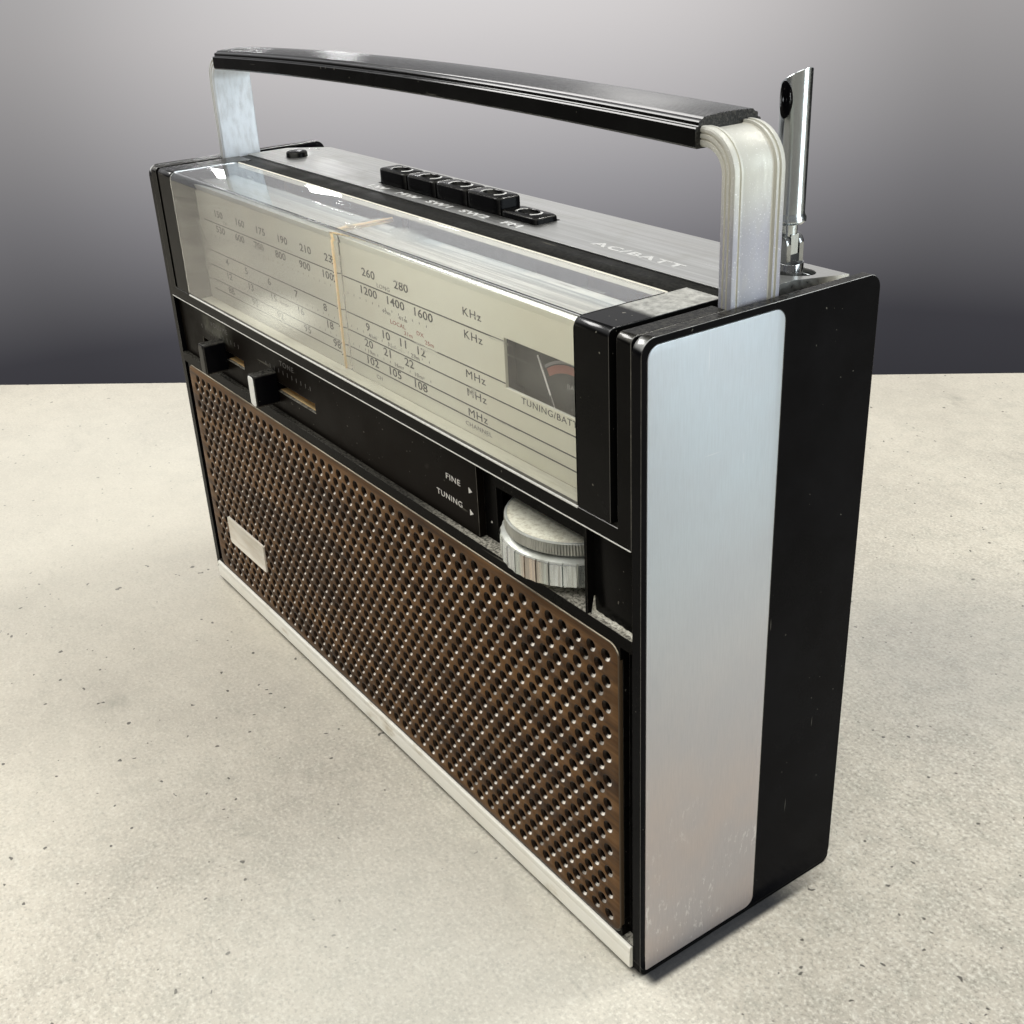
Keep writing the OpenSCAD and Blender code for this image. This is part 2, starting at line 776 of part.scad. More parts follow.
// Sheet with the main holes of its punched pattern, in columns from the right and rows from the top
module grille() {
    color("#4a2f1d") difference() {
        through_y(-grille_proud, grille_back)
            round_rect(-grille_x, grille_x, grille_z, band_z - grille_rail, grille_r);
        for (column = [0:punch_columns], row = [0:punch_rows])
            bar_y(punch_x - punch_step_x * column, -1, 2, punch_z - punch_step_z * row, punch_r);
    }
}

module nameplate() {
    color("#c9c3b0")
        slab(name_x, name_x + name_w, -grille_proud - 0.8, -grille_proud, name_z, name_z + name_h);
}

module bottom_trim() {
    color("#c6c3b6") slab(-in_x, in_x, trim_seat - trim_t, trim_seat, trim_z0, trim_z0 + trim_h);
}

// Folded metal deck: level in front, falling to the rear, with its cut-outs
module deck_panel() {
    crease = deck_d + deck_flat;
    opening = button_n * button_pitch / 2 + 0.1;
    lip = 3;
    color("#c2c2bb") difference() {
        union() {
            through_x(-deck_x, deck_x) polygon([
                [yd(deck_d), body_h - lip], [yd(deck_d), body_h], [yd(crease), body_h],
                [yd(deck_d1), body_h - deck_fall], [yd(deck_d1), body_h - deck_fall - deck_t],
                [yd(crease), body_h - deck_t], [yd(deck_d) + deck_t, body_h - deck_t],
                [yd(deck_d) + deck_t, body_h - lip]]);
            pair() through_x(deck_x - deck_t, deck_x) polygon([
                [yd(deck_d), body_h - lip], [yd(deck_d), body_h], [yd(crease), body_h],
                [yd(deck_d1), body_h - deck_fall], [yd(deck_d1), deck_under + 0.1],
                [yd(crease), deck_under + 0.1]]);
        }
        slab(button_x - opening, button_x + opening, button_d - 0.4, button_d + button_deep + 0.4,
             body_h - 8, body_h + past);
        bar_z(light_x, light_d, body_h - 8, body_h + past, light_r + gap);
        bar_z(antenna_x, antenna_d, body_h - 8, body_h + past, cup_r - 0.6);
    }
}

module deck_strip() {
    z0 = body_h - strip_drop - 1.6;
    color("#121214") {
        slab(-dial_x, dial_x, cover_d + fit, deck_d - fit, z0, body_h - strip_drop);
        slab(-pillar_x1, pillar_x1, pillar_d + fit, deck_d - fit, z0, body_h - strip_drop);
    }
}

// Square cap with a dished top, on a stem that runs down into the switch
module band_button(i) {
    x = button_x + (i - (button_n + 1) / 2) * button_pitch;
    d = button_d + button_deep / 2;
    drop = i == button_n ? button_travel : 0;
    dish_r = 8;
    color("#0f0f11") translate([0, 0, -drop]) difference() {
        union() {
            slab(x - button_half, x + button_half, button_d, button_d + button_deep,
                 cap_foot, body_h + button_h);
            slab(x - 2.5, x + 2.5, d - 2.5, d + 2.5, stem_foot, cap_foot);
        }
        translate([x, yd(d), body_h + button_h + dish_r - 1.1]) sphere(dish_r);
    }
}

module band_button_1() { band_button(1); }
module band_button_2() { band_button(2); }
module band_button_3() { band_button(3); }
module band_button_4() { band_button(4); }
module band_button_5() { band_button(5); }

module band_switch() {
    d = button_d + button_deep / 2;
    reach = button_n * button_pitch / 2;
    color("#8d8f86") difference() {
        slab(button_x - reach, button_x + reach, button_d - 0.5, board_d - 0.1, switch_z0, switch_z1);
        for (i = [1 : button_n]) {
            x = button_x + (i - (button_n + 1) / 2) * button_pitch;
            slab(x - 2.5 - gap, x + 2.5 + gap, d - 2.5 - gap, d + 2.5 + gap, switch_z0 + 1.6, switch_z1 + past);
        }
    }
}

module light_button() {
    color("#101012") {
        bar_z(light_x, light_d, body_h - 3, body_h + 2.2, light_r);
        bar_z(light_x, light_d, body_h - 18, body_h - 3, 1.5);
    }
}

// Turned cup in the deck, with the bore that the swivel turns in
module antenna_cup() {
    top = deck_z(antenna_d + cup_r) - deck_t - fit;
    color("#c9c2ae") translate([antenna_x, yd(antenna_d), 0]) difference() {
        translate([0, 0, cup_z0]) cylinder(h = top - cup_z0, r = cup_r);
        translate([0, 0, cup_z0 + 2]) cylinder(h = top, r = cup_r - 0.7);
        translate([0, 0, cup_z0 - past]) cylinder(h = top, r = 3 + run);
    }
}

// Turning post with a fork and the pin that the antenna tilts on
module antenna_swivel() {
    z0 = cup_z0 + 2 + gap;
    cheek = 1.5;
    color("#d5d7d8") translate([antenna_x, yd(antenna_d), 0]) {
        translate([0, 0, cup_z0]) cylinder(h = 3, r = 3);
        translate([0, 0, z0]) cylinder(h = 2, r = 6.4);
        translate([0, 0, z0]) cylinder(h = tilt_z - 4.6 - z0, r = 4.2);
        for (y = [-1.5 - cheek, 1.5]) translate([0, y, 0]) {
            translate([-2.6, 0, tilt_z - 5]) cube([5.2, cheek, 5]);
            translate([0, 0, tilt_z]) rotate([-90, 0, 0]) cylinder(h = cheek, r = 2.6);
        }
        translate([0, -3, tilt_z]) rotate([-90, 0, 0]) cylinder(h = 6, r = 1);
    }
}

// Outer tube: tongue in the fork, collar, slanted mouth with a thumb notch in front
module antenna_tube_1() {
    bore = tube_r - tube_step + run;
    top = tube_z + tube_l;
    slant = 26;
    color("#d9dbdc") translate([antenna_x, yd(antenna_d), 0]) difference() {
        union() {
            translate([-2.4, -1.5 + 0.1, tilt_z]) cube([4.8, 2.8, collar_z - tilt_z + past]);
            translate([0, -1.5 + 0.1, tilt_z]) rotate([-90, 0, 0]) cylinder(h = 2.8, r = 2.4);
            translate([0, 0, collar_z]) cylinder(h = 2.5, r = 4.2);
            translate([0, 0, tube_z]) cylinder(h = tube_l, r = tube_r);
        }
        translate([0, -2, tilt_z]) rotate([-90, 0, 0]) cylinder(h = 4, r = 1 + run);
        translate([0, 0, tube_z]) cylinder(h = tube_l + past, r = bore);
        translate([0, tube_r, top]) rotate([slant, 0, 0]) translate([-10, -20, 0]) cube([20, 40, 10]);
        translate([0, 0, top - 5]) rotate([90, 0, 0]) cylinder(h = 10, r = 1.3);
        translate([-1.3, -10, top - 9]) cube([2.6, 10, 4]);
        translate([0, 0, top - 9]) rotate([90, 0, 0]) cylinder(h = 10, r = 1.3);
    }
}

// Inner section i, a tube that runs in the one around it
module antenna_section(i, solid) {
    r = tube_r - i * tube_step;
    h = tube_l - 6;
    color("#dddfe0") translate([antenna_x, yd(antenna_d), tube_z + gap]) difference() {
        cylinder(h = h, r = r);
        if (!solid) translate([0, 0, -past]) cylinder(h = h + 2 * past, r = r - tube_step + run);
    }
}

module antenna_tube_2() { antenna_section(1, false); }
module antenna_tube_3() { antenna_section(2, false); }
module antenna_tip() { antenna_section(3, true); }

// Cross-section of an arm: thickness across, width along, with raised edges outside
module arm_section() {
    polygon([[0, -arm_r], [arm_t, -arm_r], [arm_t, -arm_r + 2.6], [arm_t - 0.7, -arm_r + 3.2],
             [arm_t - 0.7, arm_r - 3.2], [arm_t, arm_r - 2.6], [arm_t, arm_r], [0, arm_r]]);
}

// Strap bent over at the top, round at the pivot, with a tongue into the grip
module handle_arm() {
    y = yd(pivot_d);
    difference() {
        union() {
            translate([arm_x0, y, pivot_z]) linear_extrude(bend_z - pivot_z) arm_section();
            bar_x(arm_x0, arm_x1 - 0.7, pivot_d, pivot_z, arm_r);
            translate([bend_x, y, bend_z]) rotate([90, 0, 0]) rotate_extrude(angle = 90)
                translate([bend_r - arm_t, 0]) arm_section();
            translate([bend_x, y, arm_top - arm_t]) rotate([0, -90, 0]) linear_extrude(bend_x - grip_x)
                arm_section();
            slab(grip_x - tongue_l, grip_x + past, pivot_d - 5, pivot_d + 5,
                 arm_top - arm_t + 0.8, arm_top - arm_t + 0.8 + tongue_t);
        }
        bar_x(arm_x0 - past, arm_x1 + past, pivot_d, pivot_z, pivot_r + run);
    }
}

module handle_arm_right() { color("#d3d2c8") handle_arm(); }
module handle_arm_left() { color("#d3d2c8") mirror([1, 0, 0]) handle_arm(); }

module handle_pivots() {
    color("#b9bbbd") pair() bar_x(slot_x, half - end_t, pivot_d, pivot_z, pivot_r);
}

// Arched bar between the arms, with a pocket for a tongue in each end
module handle_grip() {
    steps = 24;
    xs = [for (i = [0 : steps]) -grip_x + 2 * grip_x * i / steps];
    low = [for (x = xs) [x, grip_z + grip_arch * (1 - pow(x / grip_x, 2))]];
    high = [for (i = [steps : -1 : 0]) low[i] + [0, grip_t]];
    color("#121214") difference() {
        through_y(grip_d, grip_d + grip_deep) polygon(concat(low, high));
        pair() slab(grip_x - tongue_l - gap, grip_x + past, pivot_d - 5 - fit, pivot_d + 5 + fit,
                    arm_top - arm_t + 0.8 - fit, arm_top - arm_t + 0.8 + tongue_t + fit);
    }
}

// Loudspeaker: steel basket, paper cone and magnet, against the front wall
module speaker_basket() {
    d0 = front_t + 0.1;
    d1 = d0 + 1.4;
    back = basket_d - 1.4;
    r = speaker_r;
    color("#77797b") difference() {
        turned_y(speaker_x, speaker_z) polygon([
            [r - 7, d0], [r, d0], [r, d1], [r - 4, d1], [basket_r, back], [basket_r, basket_d],
            [10, basket_d], [10, back], [basket_r - 1.4, back], [r - 5.6, d1], [r - 7, d1]]);
        for (a = [0:60:300])
            translate([speaker_x, yd(17), speaker_z]) rotate([0, a, 0]) translate([r - 15, 0, 0])
                rotate([90, 0, 0]) cylinder(h = 40, r = 6, center = true);
    }
}

module speaker_cone() {
    d0 = front_t + 1.8;
    apex = basket_d - 3.2;
    r = speaker_r - 9;
    color("#2b2926") turned_y(speaker_x, speaker_z) polygon([
        [0, apex - 4.2], [9, apex - 1.2], [r - 4, d0 + 1], [r, d0], [r, d0 + 0.7], [r - 4, d0 + 1.9],
        [9.6, apex], [0, apex]]);
}

module speaker_magnet() {
    color("#3c3d40") turned_y(speaker_x, speaker_z) polygon([
        [0, basket_d + 0.2], [magnet_r, basket_d + 0.2], [magnet_r, magnet_d - 1],
        [magnet_r - 2, magnet_d], [0, magnet_d]]);
}

module circuit_board() {
    color("#7a5b2c") slab(board_x0, board_x1, board_d, board_d + board_t, board_z0, board_z1);
}

// Shielded cans, capacitors, aerial holders and the light switch on the board
module board_parts() {
    foot = board_d - 0.1;
    color("#b8bbb4") for (x = can_x)
        slab(x - can_w / 2, x + can_w / 2, board_d - can_d, foot, can_z, can_z + can_w);
    color("#3a4a66") for (x = part_x) bar_y(x, board_d - part_d, foot, part_z, part_r);
    color("#55504a") for (x = holder_x) difference() {
        slab(x, x + holder_w, rod_d - rod_r - 1, foot, rod_z - rod_r - 3, rod_z + rod_r + 3);
        bar_x(x - past, x + holder_w + past, rod_d, rod_z, rod_r + run);
    }
    color("#3a3a3c") difference() {
        slab(light_x - 5, light_x + 5, light_d - 5, foot, body_h - 22, body_h - 9);
        bar_z(light_x, light_d, body_h - 21, body_h, 1.5 + run);
    }
}

// Ferrite rod with two wound formers
module ferrite_aerial() {
    color("#2f2f31") bar_x(rod_x0, rod_x1, rod_d, rod_z, rod_r);
    color("#a0622c") for (x = former_x) difference() {
        bar_x(x, x + former_l, rod_d, rod_z, rod_r + former_t);
        bar_x(x - past, x + former_l + past, rod_d, rod_z, rod_r + run);
    }
}

module battery_box() {
    color("#26262a") difference() {
        slab(-tray_x, tray_x, tray_d0, tray_d1, tray_z0, tray_z1);
        slab(-tray_x + tray_t, tray_x - tray_t, tray_d0 + tray_t, tray_d1 + past,
             tray_z0 + tray_t, tray_z1 - tray_t);
    }
}

module battery_cells() {
    x0 = -1.5 * cell_l;
    color("#4f6a58") for (i = [0:2], row = [0, 1]) {
        z = tray_z0 + tray_t + gap + cell_r + row * (2 * cell_r + gap);
        x = x0 + i * cell_l;
        bar_x(x + 0.2, x + cell_l - 2, tray_d0 + tray_t + gap + cell_r, z, cell_r);
        bar_x(x + cell_l - 2, x + cell_l - 0.2, tray_d0 + tray_t + gap + cell_r, z, 4.5);
    }
}

// Door with a round foot that turns on two stub pins
module battery_door() {
    foot_r = wall / 2;
    color("#1b1b1d") {
        through_x(-door_x, door_x) {
            translate([yd(body_d - wall), hinge_z]) square([wall, door_z1 - hinge_z]);
            translate([yd(hinge_d), hinge_z]) circle(foot_r);
        }
        bar_x(-door_x - 2, door_x + 2, hinge_d, hinge_z, 0.6);
    }
}

module mains_transformer() {
    x0 = core_x1 - core_w;
    d = body_d - 20;
    z0 = wall + fit;
    color("#6a6c6e") slab(x0, core_x1, d - core_d / 2, d + core_d / 2, z0, z0 + core_h);
    color("#b5772f")
        slab(x0 + 6, core_x1 - 6, d - bobbin_d / 2, d + bobbin_d / 2, z0 + 6, z0 + core_h - 6);
}

// Recessed two-pin inlet in the back wall
module mains_inlet() {
    d1 = body_d - 0.2;
    color("#0d0d0f") difference() {
        slab(inlet_x - 11, inlet_x + 11, body_d - 15, d1, inlet_z - 7, inlet_z + 7);
        slab(inlet_x - 8, inlet_x + 8, body_d - 12, body_d, inlet_z - 4, inlet_z + 4);
    }
    color("#c8b06a") for (x = [-4, 4]) bar_y(inlet_x + x, body_d - 12.5, body_d - 3, inlet_z, 1.2);
}

front_cabinet();
rear_cover();
end_panel_left();
end_panel_right();
side_plate_left();
side_plate_right();
dial_bezel();
pillar_left();
pillar_right();
dial_cover();
scale_plate();
pointer_rail();
pointer();
meter_housing();
meter_needle();
control_panel();
volume_knob();
tone_knob();
slide_pots();
tuning_wheel();
fine_wheel();
wheel_bracket();
grille();
nameplate();
bottom_trim();
deck_panel();
deck_strip();
band_button_1();
band_button_2();
band_button_3();
band_button_4();
band_button_5();
band_switch();
light_button();
antenna_cup();
antenna_swivel();
antenna_tube_1();
antenna_tube_2();
antenna_tube_3();
antenna_tip();
handle_grip();
handle_arm_left();
handle_arm_right();
handle_pivots();
speaker_basket();
speaker_cone();
speaker_magnet();
circuit_board();
board_parts();
tuning_capacitor();
dial_drum();
dial_cord();
ferrite_aerial();
battery_box();
battery_cells();
battery_door();
mains_transformer();
mains_inlet();
rear_screws();
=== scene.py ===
import math

import bmesh
import bpy
from mathutils import Matrix, Vector


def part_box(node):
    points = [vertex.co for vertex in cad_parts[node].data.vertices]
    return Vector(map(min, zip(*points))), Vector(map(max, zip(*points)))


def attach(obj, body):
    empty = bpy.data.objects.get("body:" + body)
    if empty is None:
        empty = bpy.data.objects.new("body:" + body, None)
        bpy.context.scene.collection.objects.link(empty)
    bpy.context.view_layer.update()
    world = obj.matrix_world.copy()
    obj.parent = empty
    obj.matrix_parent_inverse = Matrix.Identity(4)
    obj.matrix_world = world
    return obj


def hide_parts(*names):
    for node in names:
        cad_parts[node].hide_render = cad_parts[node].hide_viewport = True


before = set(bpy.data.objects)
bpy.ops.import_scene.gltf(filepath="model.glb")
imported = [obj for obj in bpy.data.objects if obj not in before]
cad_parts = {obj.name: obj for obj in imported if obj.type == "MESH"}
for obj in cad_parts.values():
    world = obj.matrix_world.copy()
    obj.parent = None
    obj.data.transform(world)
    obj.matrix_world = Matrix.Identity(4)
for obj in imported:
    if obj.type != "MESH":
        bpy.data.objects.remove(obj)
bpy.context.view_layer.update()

# Viewpoint: the camera stands off the right front corner, a little above the handle, and looks down
# along the front. Its three axes and its place are in the frame's own metres.
camera_place = Vector((0.3354, -0.198, 0.2677))
camera_right = Vector((0.5754, 0.8165, -0.0463))
camera_down = Vector((0.3399, -0.2902, -0.8946))
camera_ahead = Vector((-0.7439, 0.4990, -0.4445))
camera = bpy.data.objects.new("viewpoint", bpy.data.cameras.new("viewpoint"))
bpy.context.scene.collection.objects.link(camera)
camera.data.sensor_fit = "HORIZONTAL"
camera.data.sensor_width = 36
camera.data.lens = 42.13
camera.data.clip_start = 0.01
camera.matrix_world = Matrix([
    (camera_right[i], -camera_down[i], -camera_ahead[i], camera_place[i]) for i in range(3)
] + [(0, 0, 0, 1)])
bpy.context.scene.camera = camera


# Table: a pale slab of cast stone that the radio stands on. It is trowelled smooth, with cloudy
# patches and a few pits, and its far edge is straight. Its left end shows only in what is glossy.
def finish(name, **plain):
    """A material with one Principled shader; plain gives the sockets that are the same all over."""
    material = bpy.data.materials.new(name)
    material.use_nodes = True
    tree = material.node_tree
    shader = tree.nodes["Principled BSDF"]
    for socket, value in plain.items():
        shader.inputs[socket.replace("_", " ")].default_value = value
    return material, tree, shader


def add(tree, kind, settings=(), **inputs):
    """Adds a node; an input is named by its socket, or by s and its number, and is a value or a socket."""
    made = tree.nodes.new(kind)
    for key, value in dict(settings).items():
        setattr(made, key, value)
    for key, value in inputs.items():
        socket = made.inputs[int(key[1:])] if key[1:].isdigit() else made.inputs[key.replace("_", " ")]
        if isinstance(value, bpy.types.NodeSocket):
            tree.links.new(value, socket)
        else:
            socket.default_value = value
    return made


def grain(tree, fineness, stretch=(1, 1, 1), turn=(0, 0, 0), detail=4, rough=0.6):
    """A noise in the piece's own metres; fineness is spots per metre, and stretch squeezes it by axis."""
    place = add(tree, "ShaderNodeTexCoord").outputs["Object"]
    place = add(tree, "ShaderNodeMapping", Vector=place, Scale=stretch, Rotation=turn).outputs[0]
    noise = add(tree, "ShaderNodeTexNoise", Vector=place, Scale=fineness, Detail=detail, Roughness=rough)
    return noise.outputs["Fac"]


def ease(tree, value, low, high, start=0.0, end=1.0):
    """A value taken smoothly from start to end as it goes from low to high."""
    ramp = add(tree, "ShaderNodeMapRange", {"interpolation_type": "SMOOTHSTEP"}, Value=value,
               s1=low, s2=high, s3=start, s4=end)
    return ramp.outputs[0]


def sums(tree, how, a, b):
    """Two values added, subtracted, multiplied or compared."""
    return add(tree, "ShaderNodeMath", {"operation": how}, s0=a, s1=b).outputs[0]


def times(tree, a, b):
    """The product of two values."""
    return sums(tree, "MULTIPLY", a, b)


def tint(tree, share, first, second):
    """A colour between two, each a triple or a socket."""
    pair = [c if isinstance(c, bpy.types.NodeSocket) else (*c, 1) for c in (first, second)]
    return add(tree, "ShaderNodeMix", {"data_type": "RGBA"}, s0=share, s6=pair[0], s7=pair[1]).outputs[2]


def relief(tree, shader, height, depth, strength=1.0):
    """Bump on the shader from a height; depth is in metres."""
    bump = add(tree, "ShaderNodeBump", Height=height, Distance=depth, Strength=strength)
    tree.links.new(bump.outputs[0], shader.inputs["Normal"])


def wire(tree, shader, **sockets):
    """Leads values into the shader's sockets."""
    for socket, value in sockets.items():
        tree.links.new(value, shader.inputs[socket.replace("_", " ")])


def coordinate(tree, axis="Y"):
    """A coordinate of the piece in metres."""
    place = add(tree, "ShaderNodeTexCoord").outputs["Object"]
    return add(tree, "ShaderNodeSeparateXYZ", Vector=place).outputs[axis]


def within(tree, axis, low, high, soft):
    """1 between two coordinates of an axis, falling to 0 over soft metres outside them."""
    place = coordinate(tree, axis)
    return times(tree, ease(tree, place, low - soft, low),
                 ease(tree, place, high, high + soft, 1.0, 0.0))


stone_light, stone_grey, stone_pale = (0.585, 0.545, 0.455), (0.43, 0.40, 0.34), (0.76, 0.74, 0.65)
stone_smear, stone_pit, stone_shade = (0.17, 0.165, 0.14), (0.04, 0.037, 0.032), (0.012, 0.015, 0.021)
stone_dull, stone_warm, stone_painted_shadow = (0.38, 0.37, 0.31), (0.68, 0.63, 0.53), (0.25, 0.25, 0.24)
table_finish, tree, shader = finish("table_stone", Specular_IOR_Level=0.3)
clouds = grain(tree, 7, detail=6, rough=0.62)
grit = grain(tree, 820, detail=2, rough=0.6)
crumbs = grain(tree, 300, (1, 1.7, 1), (0, 0, 0.6), detail=4, rough=0.7)
mottle = grain(tree, 85, detail=4, rough=0.65)
coarse = ease(tree, coordinate(tree, "X"), -0.10, 0.16, 0.32, 0.85)
stone = tint(tree, ease(tree, clouds, 0.36, 0.68, 0.0, 0.7), stone_light, stone_grey)
stone_spots = ((mottle, 0.50, 0.64, 0.45, stone_dull), (mottle, 0.48, 0.36, 0.35, stone_warm),
               (crumbs, 0.52, 0.68, 0.5, stone_pale), (crumbs, 0.47, 0.30, 0.4, stone_smear),
               (grit, 0.52, 0.68, 0.75, stone_pale), (grit, 0.46, 0.30, 0.55, stone_smear))
for spots, low, high, share, colour in stone_spots:
    stone = tint(tree, times(tree, ease(tree, spots, low, high, 0.0, share), coarse), stone, colour)
smears = grain(tree, 11, (1, 2.2, 1), (0, 0, 0.7), detail=7, rough=0.72)
stone = tint(tree, ease(tree, smears, 0.58, 0.76, 0.0, 0.4), stone, stone_smear)
pits = ease(tree, grain(tree, 300, detail=1), 0.745, 0.775, 0.0, 0.8)
stone = tint(tree, pits, stone, stone_pit)
# Painted light and shadow: pale pools right of the front and far to the left, and a dark patch behind the right end.
spread = add(tree, "ShaderNodeTexCoord").outputs["Object"]
painted_light_patches = (((0.116, -0.080, 0), 0.02, 0.11, 0.46, stone_pale), ((-0.30, -0.06, 0), 0.05, 0.22, 0.32, stone_pale),
                 ((0.103, 0.167, 0), 0.02, 0.10, 0.48, stone_painted_shadow))
for middle, near, far, share, colour in painted_light_patches:
    away = add(tree, "ShaderNodeVectorMath", {"operation": "DISTANCE"}, s0=spread, s1=middle).outputs["Value"]
    stone = tint(tree, ease(tree, away, near, far, share, 0.0), stone, colour)
# Painted shadow: a narrow dark band on the table along the foot of the right end panel.
along = coordinate(tree)
shade = times(tree, ease(tree, along, -0.0395, -0.0350), ease(tree, along, 0.010, 0.040, 1.0, 0.0))
shade = times(tree, within(tree, "X", 0.145, 0.1528, 0.0026), shade)
stone = tint(tree, times(tree, shade, 0.97), stone, stone_shade)
wire(tree, shader, Base_Color=stone, Roughness=ease(tree, clouds, 0.3, 0.7, 0.42, 0.62))
relief(tree, shader, sums(tree, "SUBTRACT", grit, pits), 0.0005, 0.4)
rail_height = 0.0012
reach = 1 + rail_height / camera_place.z
edge_ends = ((-0.4969, -0.0512, 0), (-0.0641, 0.4562, 0))
edge_left, edge_right = (camera_place + (Vector(end) - camera_place) * reach for end in edge_ends)
edge_along = (edge_right - edge_left).normalized()
edge_front = Vector((edge_along.y, -edge_along.x, 0))
edge_middle, table_half, table_deep = (edge_left + edge_right) / 2, 2.2, 3.2
left_overlap, left_reach = 0.02, Vector((-2.7, 0.51, 0))
table_corners = [edge_middle + edge_along * a * table_half + edge_front * b * table_deep
                 for a, b in ((1, 0), (1, 1), (-1, 1))]
table_corners += [edge_left - edge_along * left_overlap, edge_left + left_reach]
for name, outline in (("table", (0, 1, 2, 3)), ("table_left", (2, 4, 3))):
    table_mesh = bpy.data.meshes.new(name)
    table_mesh.from_pydata([tuple(table_corners[k]) for k in outline], [], [range(len(outline))])
    table_mesh.materials.append(table_finish)
    table = bpy.data.objects.new(name, table_mesh)
    table.visible_camera = name == "table"
    bpy.context.scene.collection.objects.link(table)


# Room: a grey wall that darkens downwards beyond the table, and a pale ceiling that lights softly. Broad
# lamps stand over, left of, behind and right of the table. Three small ones show only in the clear cover:
# a soft spot low on its front, and two strips on its top.
def facing(tree, aim, way):
    """How nearly the room is looked at in a way: 1 straight on, 0 across it."""
    return add(tree, "ShaderNodeVectorMath", {"operation": "DOT_PRODUCT"}, s0=aim, s1=way).outputs["Value"]


room_heights = ((-0.36, (0.038, 0.038, 0.045)), (-0.29, (0.056, 0.055, 0.064)), (-0.19, (0.205, 0.20, 0.21)),
                (-0.07, (0.41, 0.395, 0.395)), (0.02, (0.52, 0.51, 0.51)), (0.35, (0.54, 0.54, 0.55)),
                (1.0, (0.68, 0.68, 0.67)))
glow_aim, glow_edge, glow_strength = (-0.72, 0.58, 0.38), 0.92, 0.9
wall_aim, wall_edge, wall_sides, wall_middle = (-0.825, 0.541, -0.162), 0.93, 0.86, 1.62
dim_aim, dim_share = (-0.83, 0.56, 0.0), 0.5
dark_aim, dark_edge, dark_share = (0.087, 0.996, 0.0), 0.84, 0.06
world = bpy.data.worlds.new("room")
bpy.context.scene.world = world
world.use_nodes = True
tree = world.node_tree
aim = add(tree, "ShaderNodeTexCoord").outputs["Generated"]
height = add(tree, "ShaderNodeSeparateXYZ", Vector=aim).outputs["Z"]
share = add(tree, "ShaderNodeMapRange", Value=height, s1=room_heights[0][0], s2=room_heights[-1][0]).outputs[0]
ramp = add(tree, "ShaderNodeValToRGB", Fac=share)
span = room_heights[-1][0] - room_heights[0][0]
while len(ramp.color_ramp.elements) < len(room_heights):
    ramp.color_ramp.elements.new(0.5)
for stop, (z, colour) in zip(ramp.color_ramp.elements, room_heights):
    stop.position = (z - room_heights[0][0]) / span
    stop.color = (*colour, 1)
glow = ease(tree, facing(tree, aim, glow_aim), glow_edge, 1.0, 1.0, 1.0 + glow_strength)
glow = times(tree, glow, ease(tree, facing(tree, aim, wall_aim), wall_edge, 1.005, wall_sides, wall_middle))
glow = times(tree, glow, ease(tree, facing(tree, aim, dim_aim), -0.5, 0.75, dim_share, 1.0))
opening = ease(tree, facing(tree, aim, dark_aim), dark_edge, dark_edge + 0.06, 1.0, dark_share)
opening = sums(tree, "MAXIMUM", opening, add(tree, "ShaderNodeLightPath").outputs["Is Camera Ray"])
glow = times(tree, glow, opening)
tree.links.new(ramp.outputs["Color"], tree.nodes["Background"].inputs["Color"])
tree.links.new(glow, tree.nodes["Background"].inputs["Strength"])


def lamp(name, place, aim, size, watts, colour=(1, 1, 1), shape="RECTANGLE"):
    """An area lamp that looks from its place towards its aim; its size is in metres."""
    light = bpy.data.lights.new(name, "AREA")
    light.shape, light.size, light.size_y = shape, *size
    light.energy, light.color = watts, colour
    holder = bpy.data.objects.new(name, light)
    holder.location = place
    holder.rotation_euler = (Vector(aim) - Vector(place)).to_track_quat("-Z", "Y").to_euler()
    bpy.context.scene.collection.objects.link(holder)
    return light


lamp("lamp_over", (0.38, -0.5, 1.7), (0, 0, 0), size=(1.5, 1.3), watts=17.5, colour=(1.0, 0.98, 0.94))
lamp("lamp_left", (-1.0, -0.35, 1.2), (-0.2, 0, 0.05), size=(0.7, 0.6), watts=11, colour=(1.0, 0.98, 0.95))
lamp("lamp_back", (0.35, 0.87, 1.75), (0, 0, 0.05), size=(0.35, 0.35), watts=12, colour=(1.0, 0.98, 0.94))
lamp("lamp_side", (1.55, 0.75, 0.42), (0, 0, 0.15), size=(0.75, 0.9), watts=14, colour=(0.86, 0.95, 1.0))
glare = lamp("lamp_glare", (-0.460, -0.222, 0.0205), (-0.043, -0.0385, 0.148), size=(0.078, 0.046), watts=0.014,
             colour=(1.0, 1.0, 0.85), shape="ELLIPSE")
glare.use_nodes = True
tree = glare.node_tree
spread = add(tree, "ShaderNodeNewGeometry").outputs["Parametric"]
away = add(tree, "ShaderNodeVectorMath", {"operation": "DISTANCE"}, s0=spread, s1=(0.5, 0.5, 0)).outputs["Value"]
tree.links.new(ease(tree, away, 0.5, 0.05), tree.nodes["Emission"].inputs["Strength"])
strip_size, strip_watts = (0.09, 0.05), 0.4
lamp("lamp_strip_1", (-2.83, 1.036, 0.750), (-0.094, -0.031, 0.186), size=strip_size, watts=strip_watts)
lamp("lamp_strip_2", (-2.726, 1.284, 0.764), (-0.044, -0.014, 0.186), size=strip_size, watts=strip_watts)
bpy.context.scene.view_settings.view_transform = "Standard"

# End panels: two sheets of black styrene, moulded with a gloss and rounded corners, that close the case
# at left and right. Handling has scratched them, a little dust lies on top, and their upper edges carry a painted
# highlight.
front_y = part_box("end_panel_right")[0].y


def at(x, d, z):
    """A point in millimetres: x along the case, d back from its front, z up."""
    return Vector((x / 1000, d / 1000 + front_y, z / 1000))


def span_of(node):
    """x0, x1, d0, d1, z0, z1 of a solid in millimetres."""
    low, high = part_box(node)
    return (low.x * 1e3, high.x * 1e3, (low.y - front_y) * 1e3, (high.y - front_y) * 1e3,
            low.z * 1e3, high.z * 1e3)


def dress(material, *nodes, edge=0.3, steps=2):
    """Gives solids a finish, and rounds their sharp edges by edge millimetres."""
    for name in nodes:
        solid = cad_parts[name]
        for place in solid.material_slots:
            place.material = material
        if edge:
            weld = solid.modifiers.new("joined", "WELD")
            weld.merge_threshold = 2e-6
            flat = solid.modifiers.new("flats", "DECIMATE")
            flat.decimate_type = "DISSOLVE"
            flat.angle_limit = math.radians(0.4)
            edges = solid.modifiers.new("edges", "BEVEL")
            edges.width = edge / 1000
            edges.segments = steps
            edges.limit_method = "ANGLE"
            edges.angle_limit = math.radians(40)
            edges.harden_normals = True


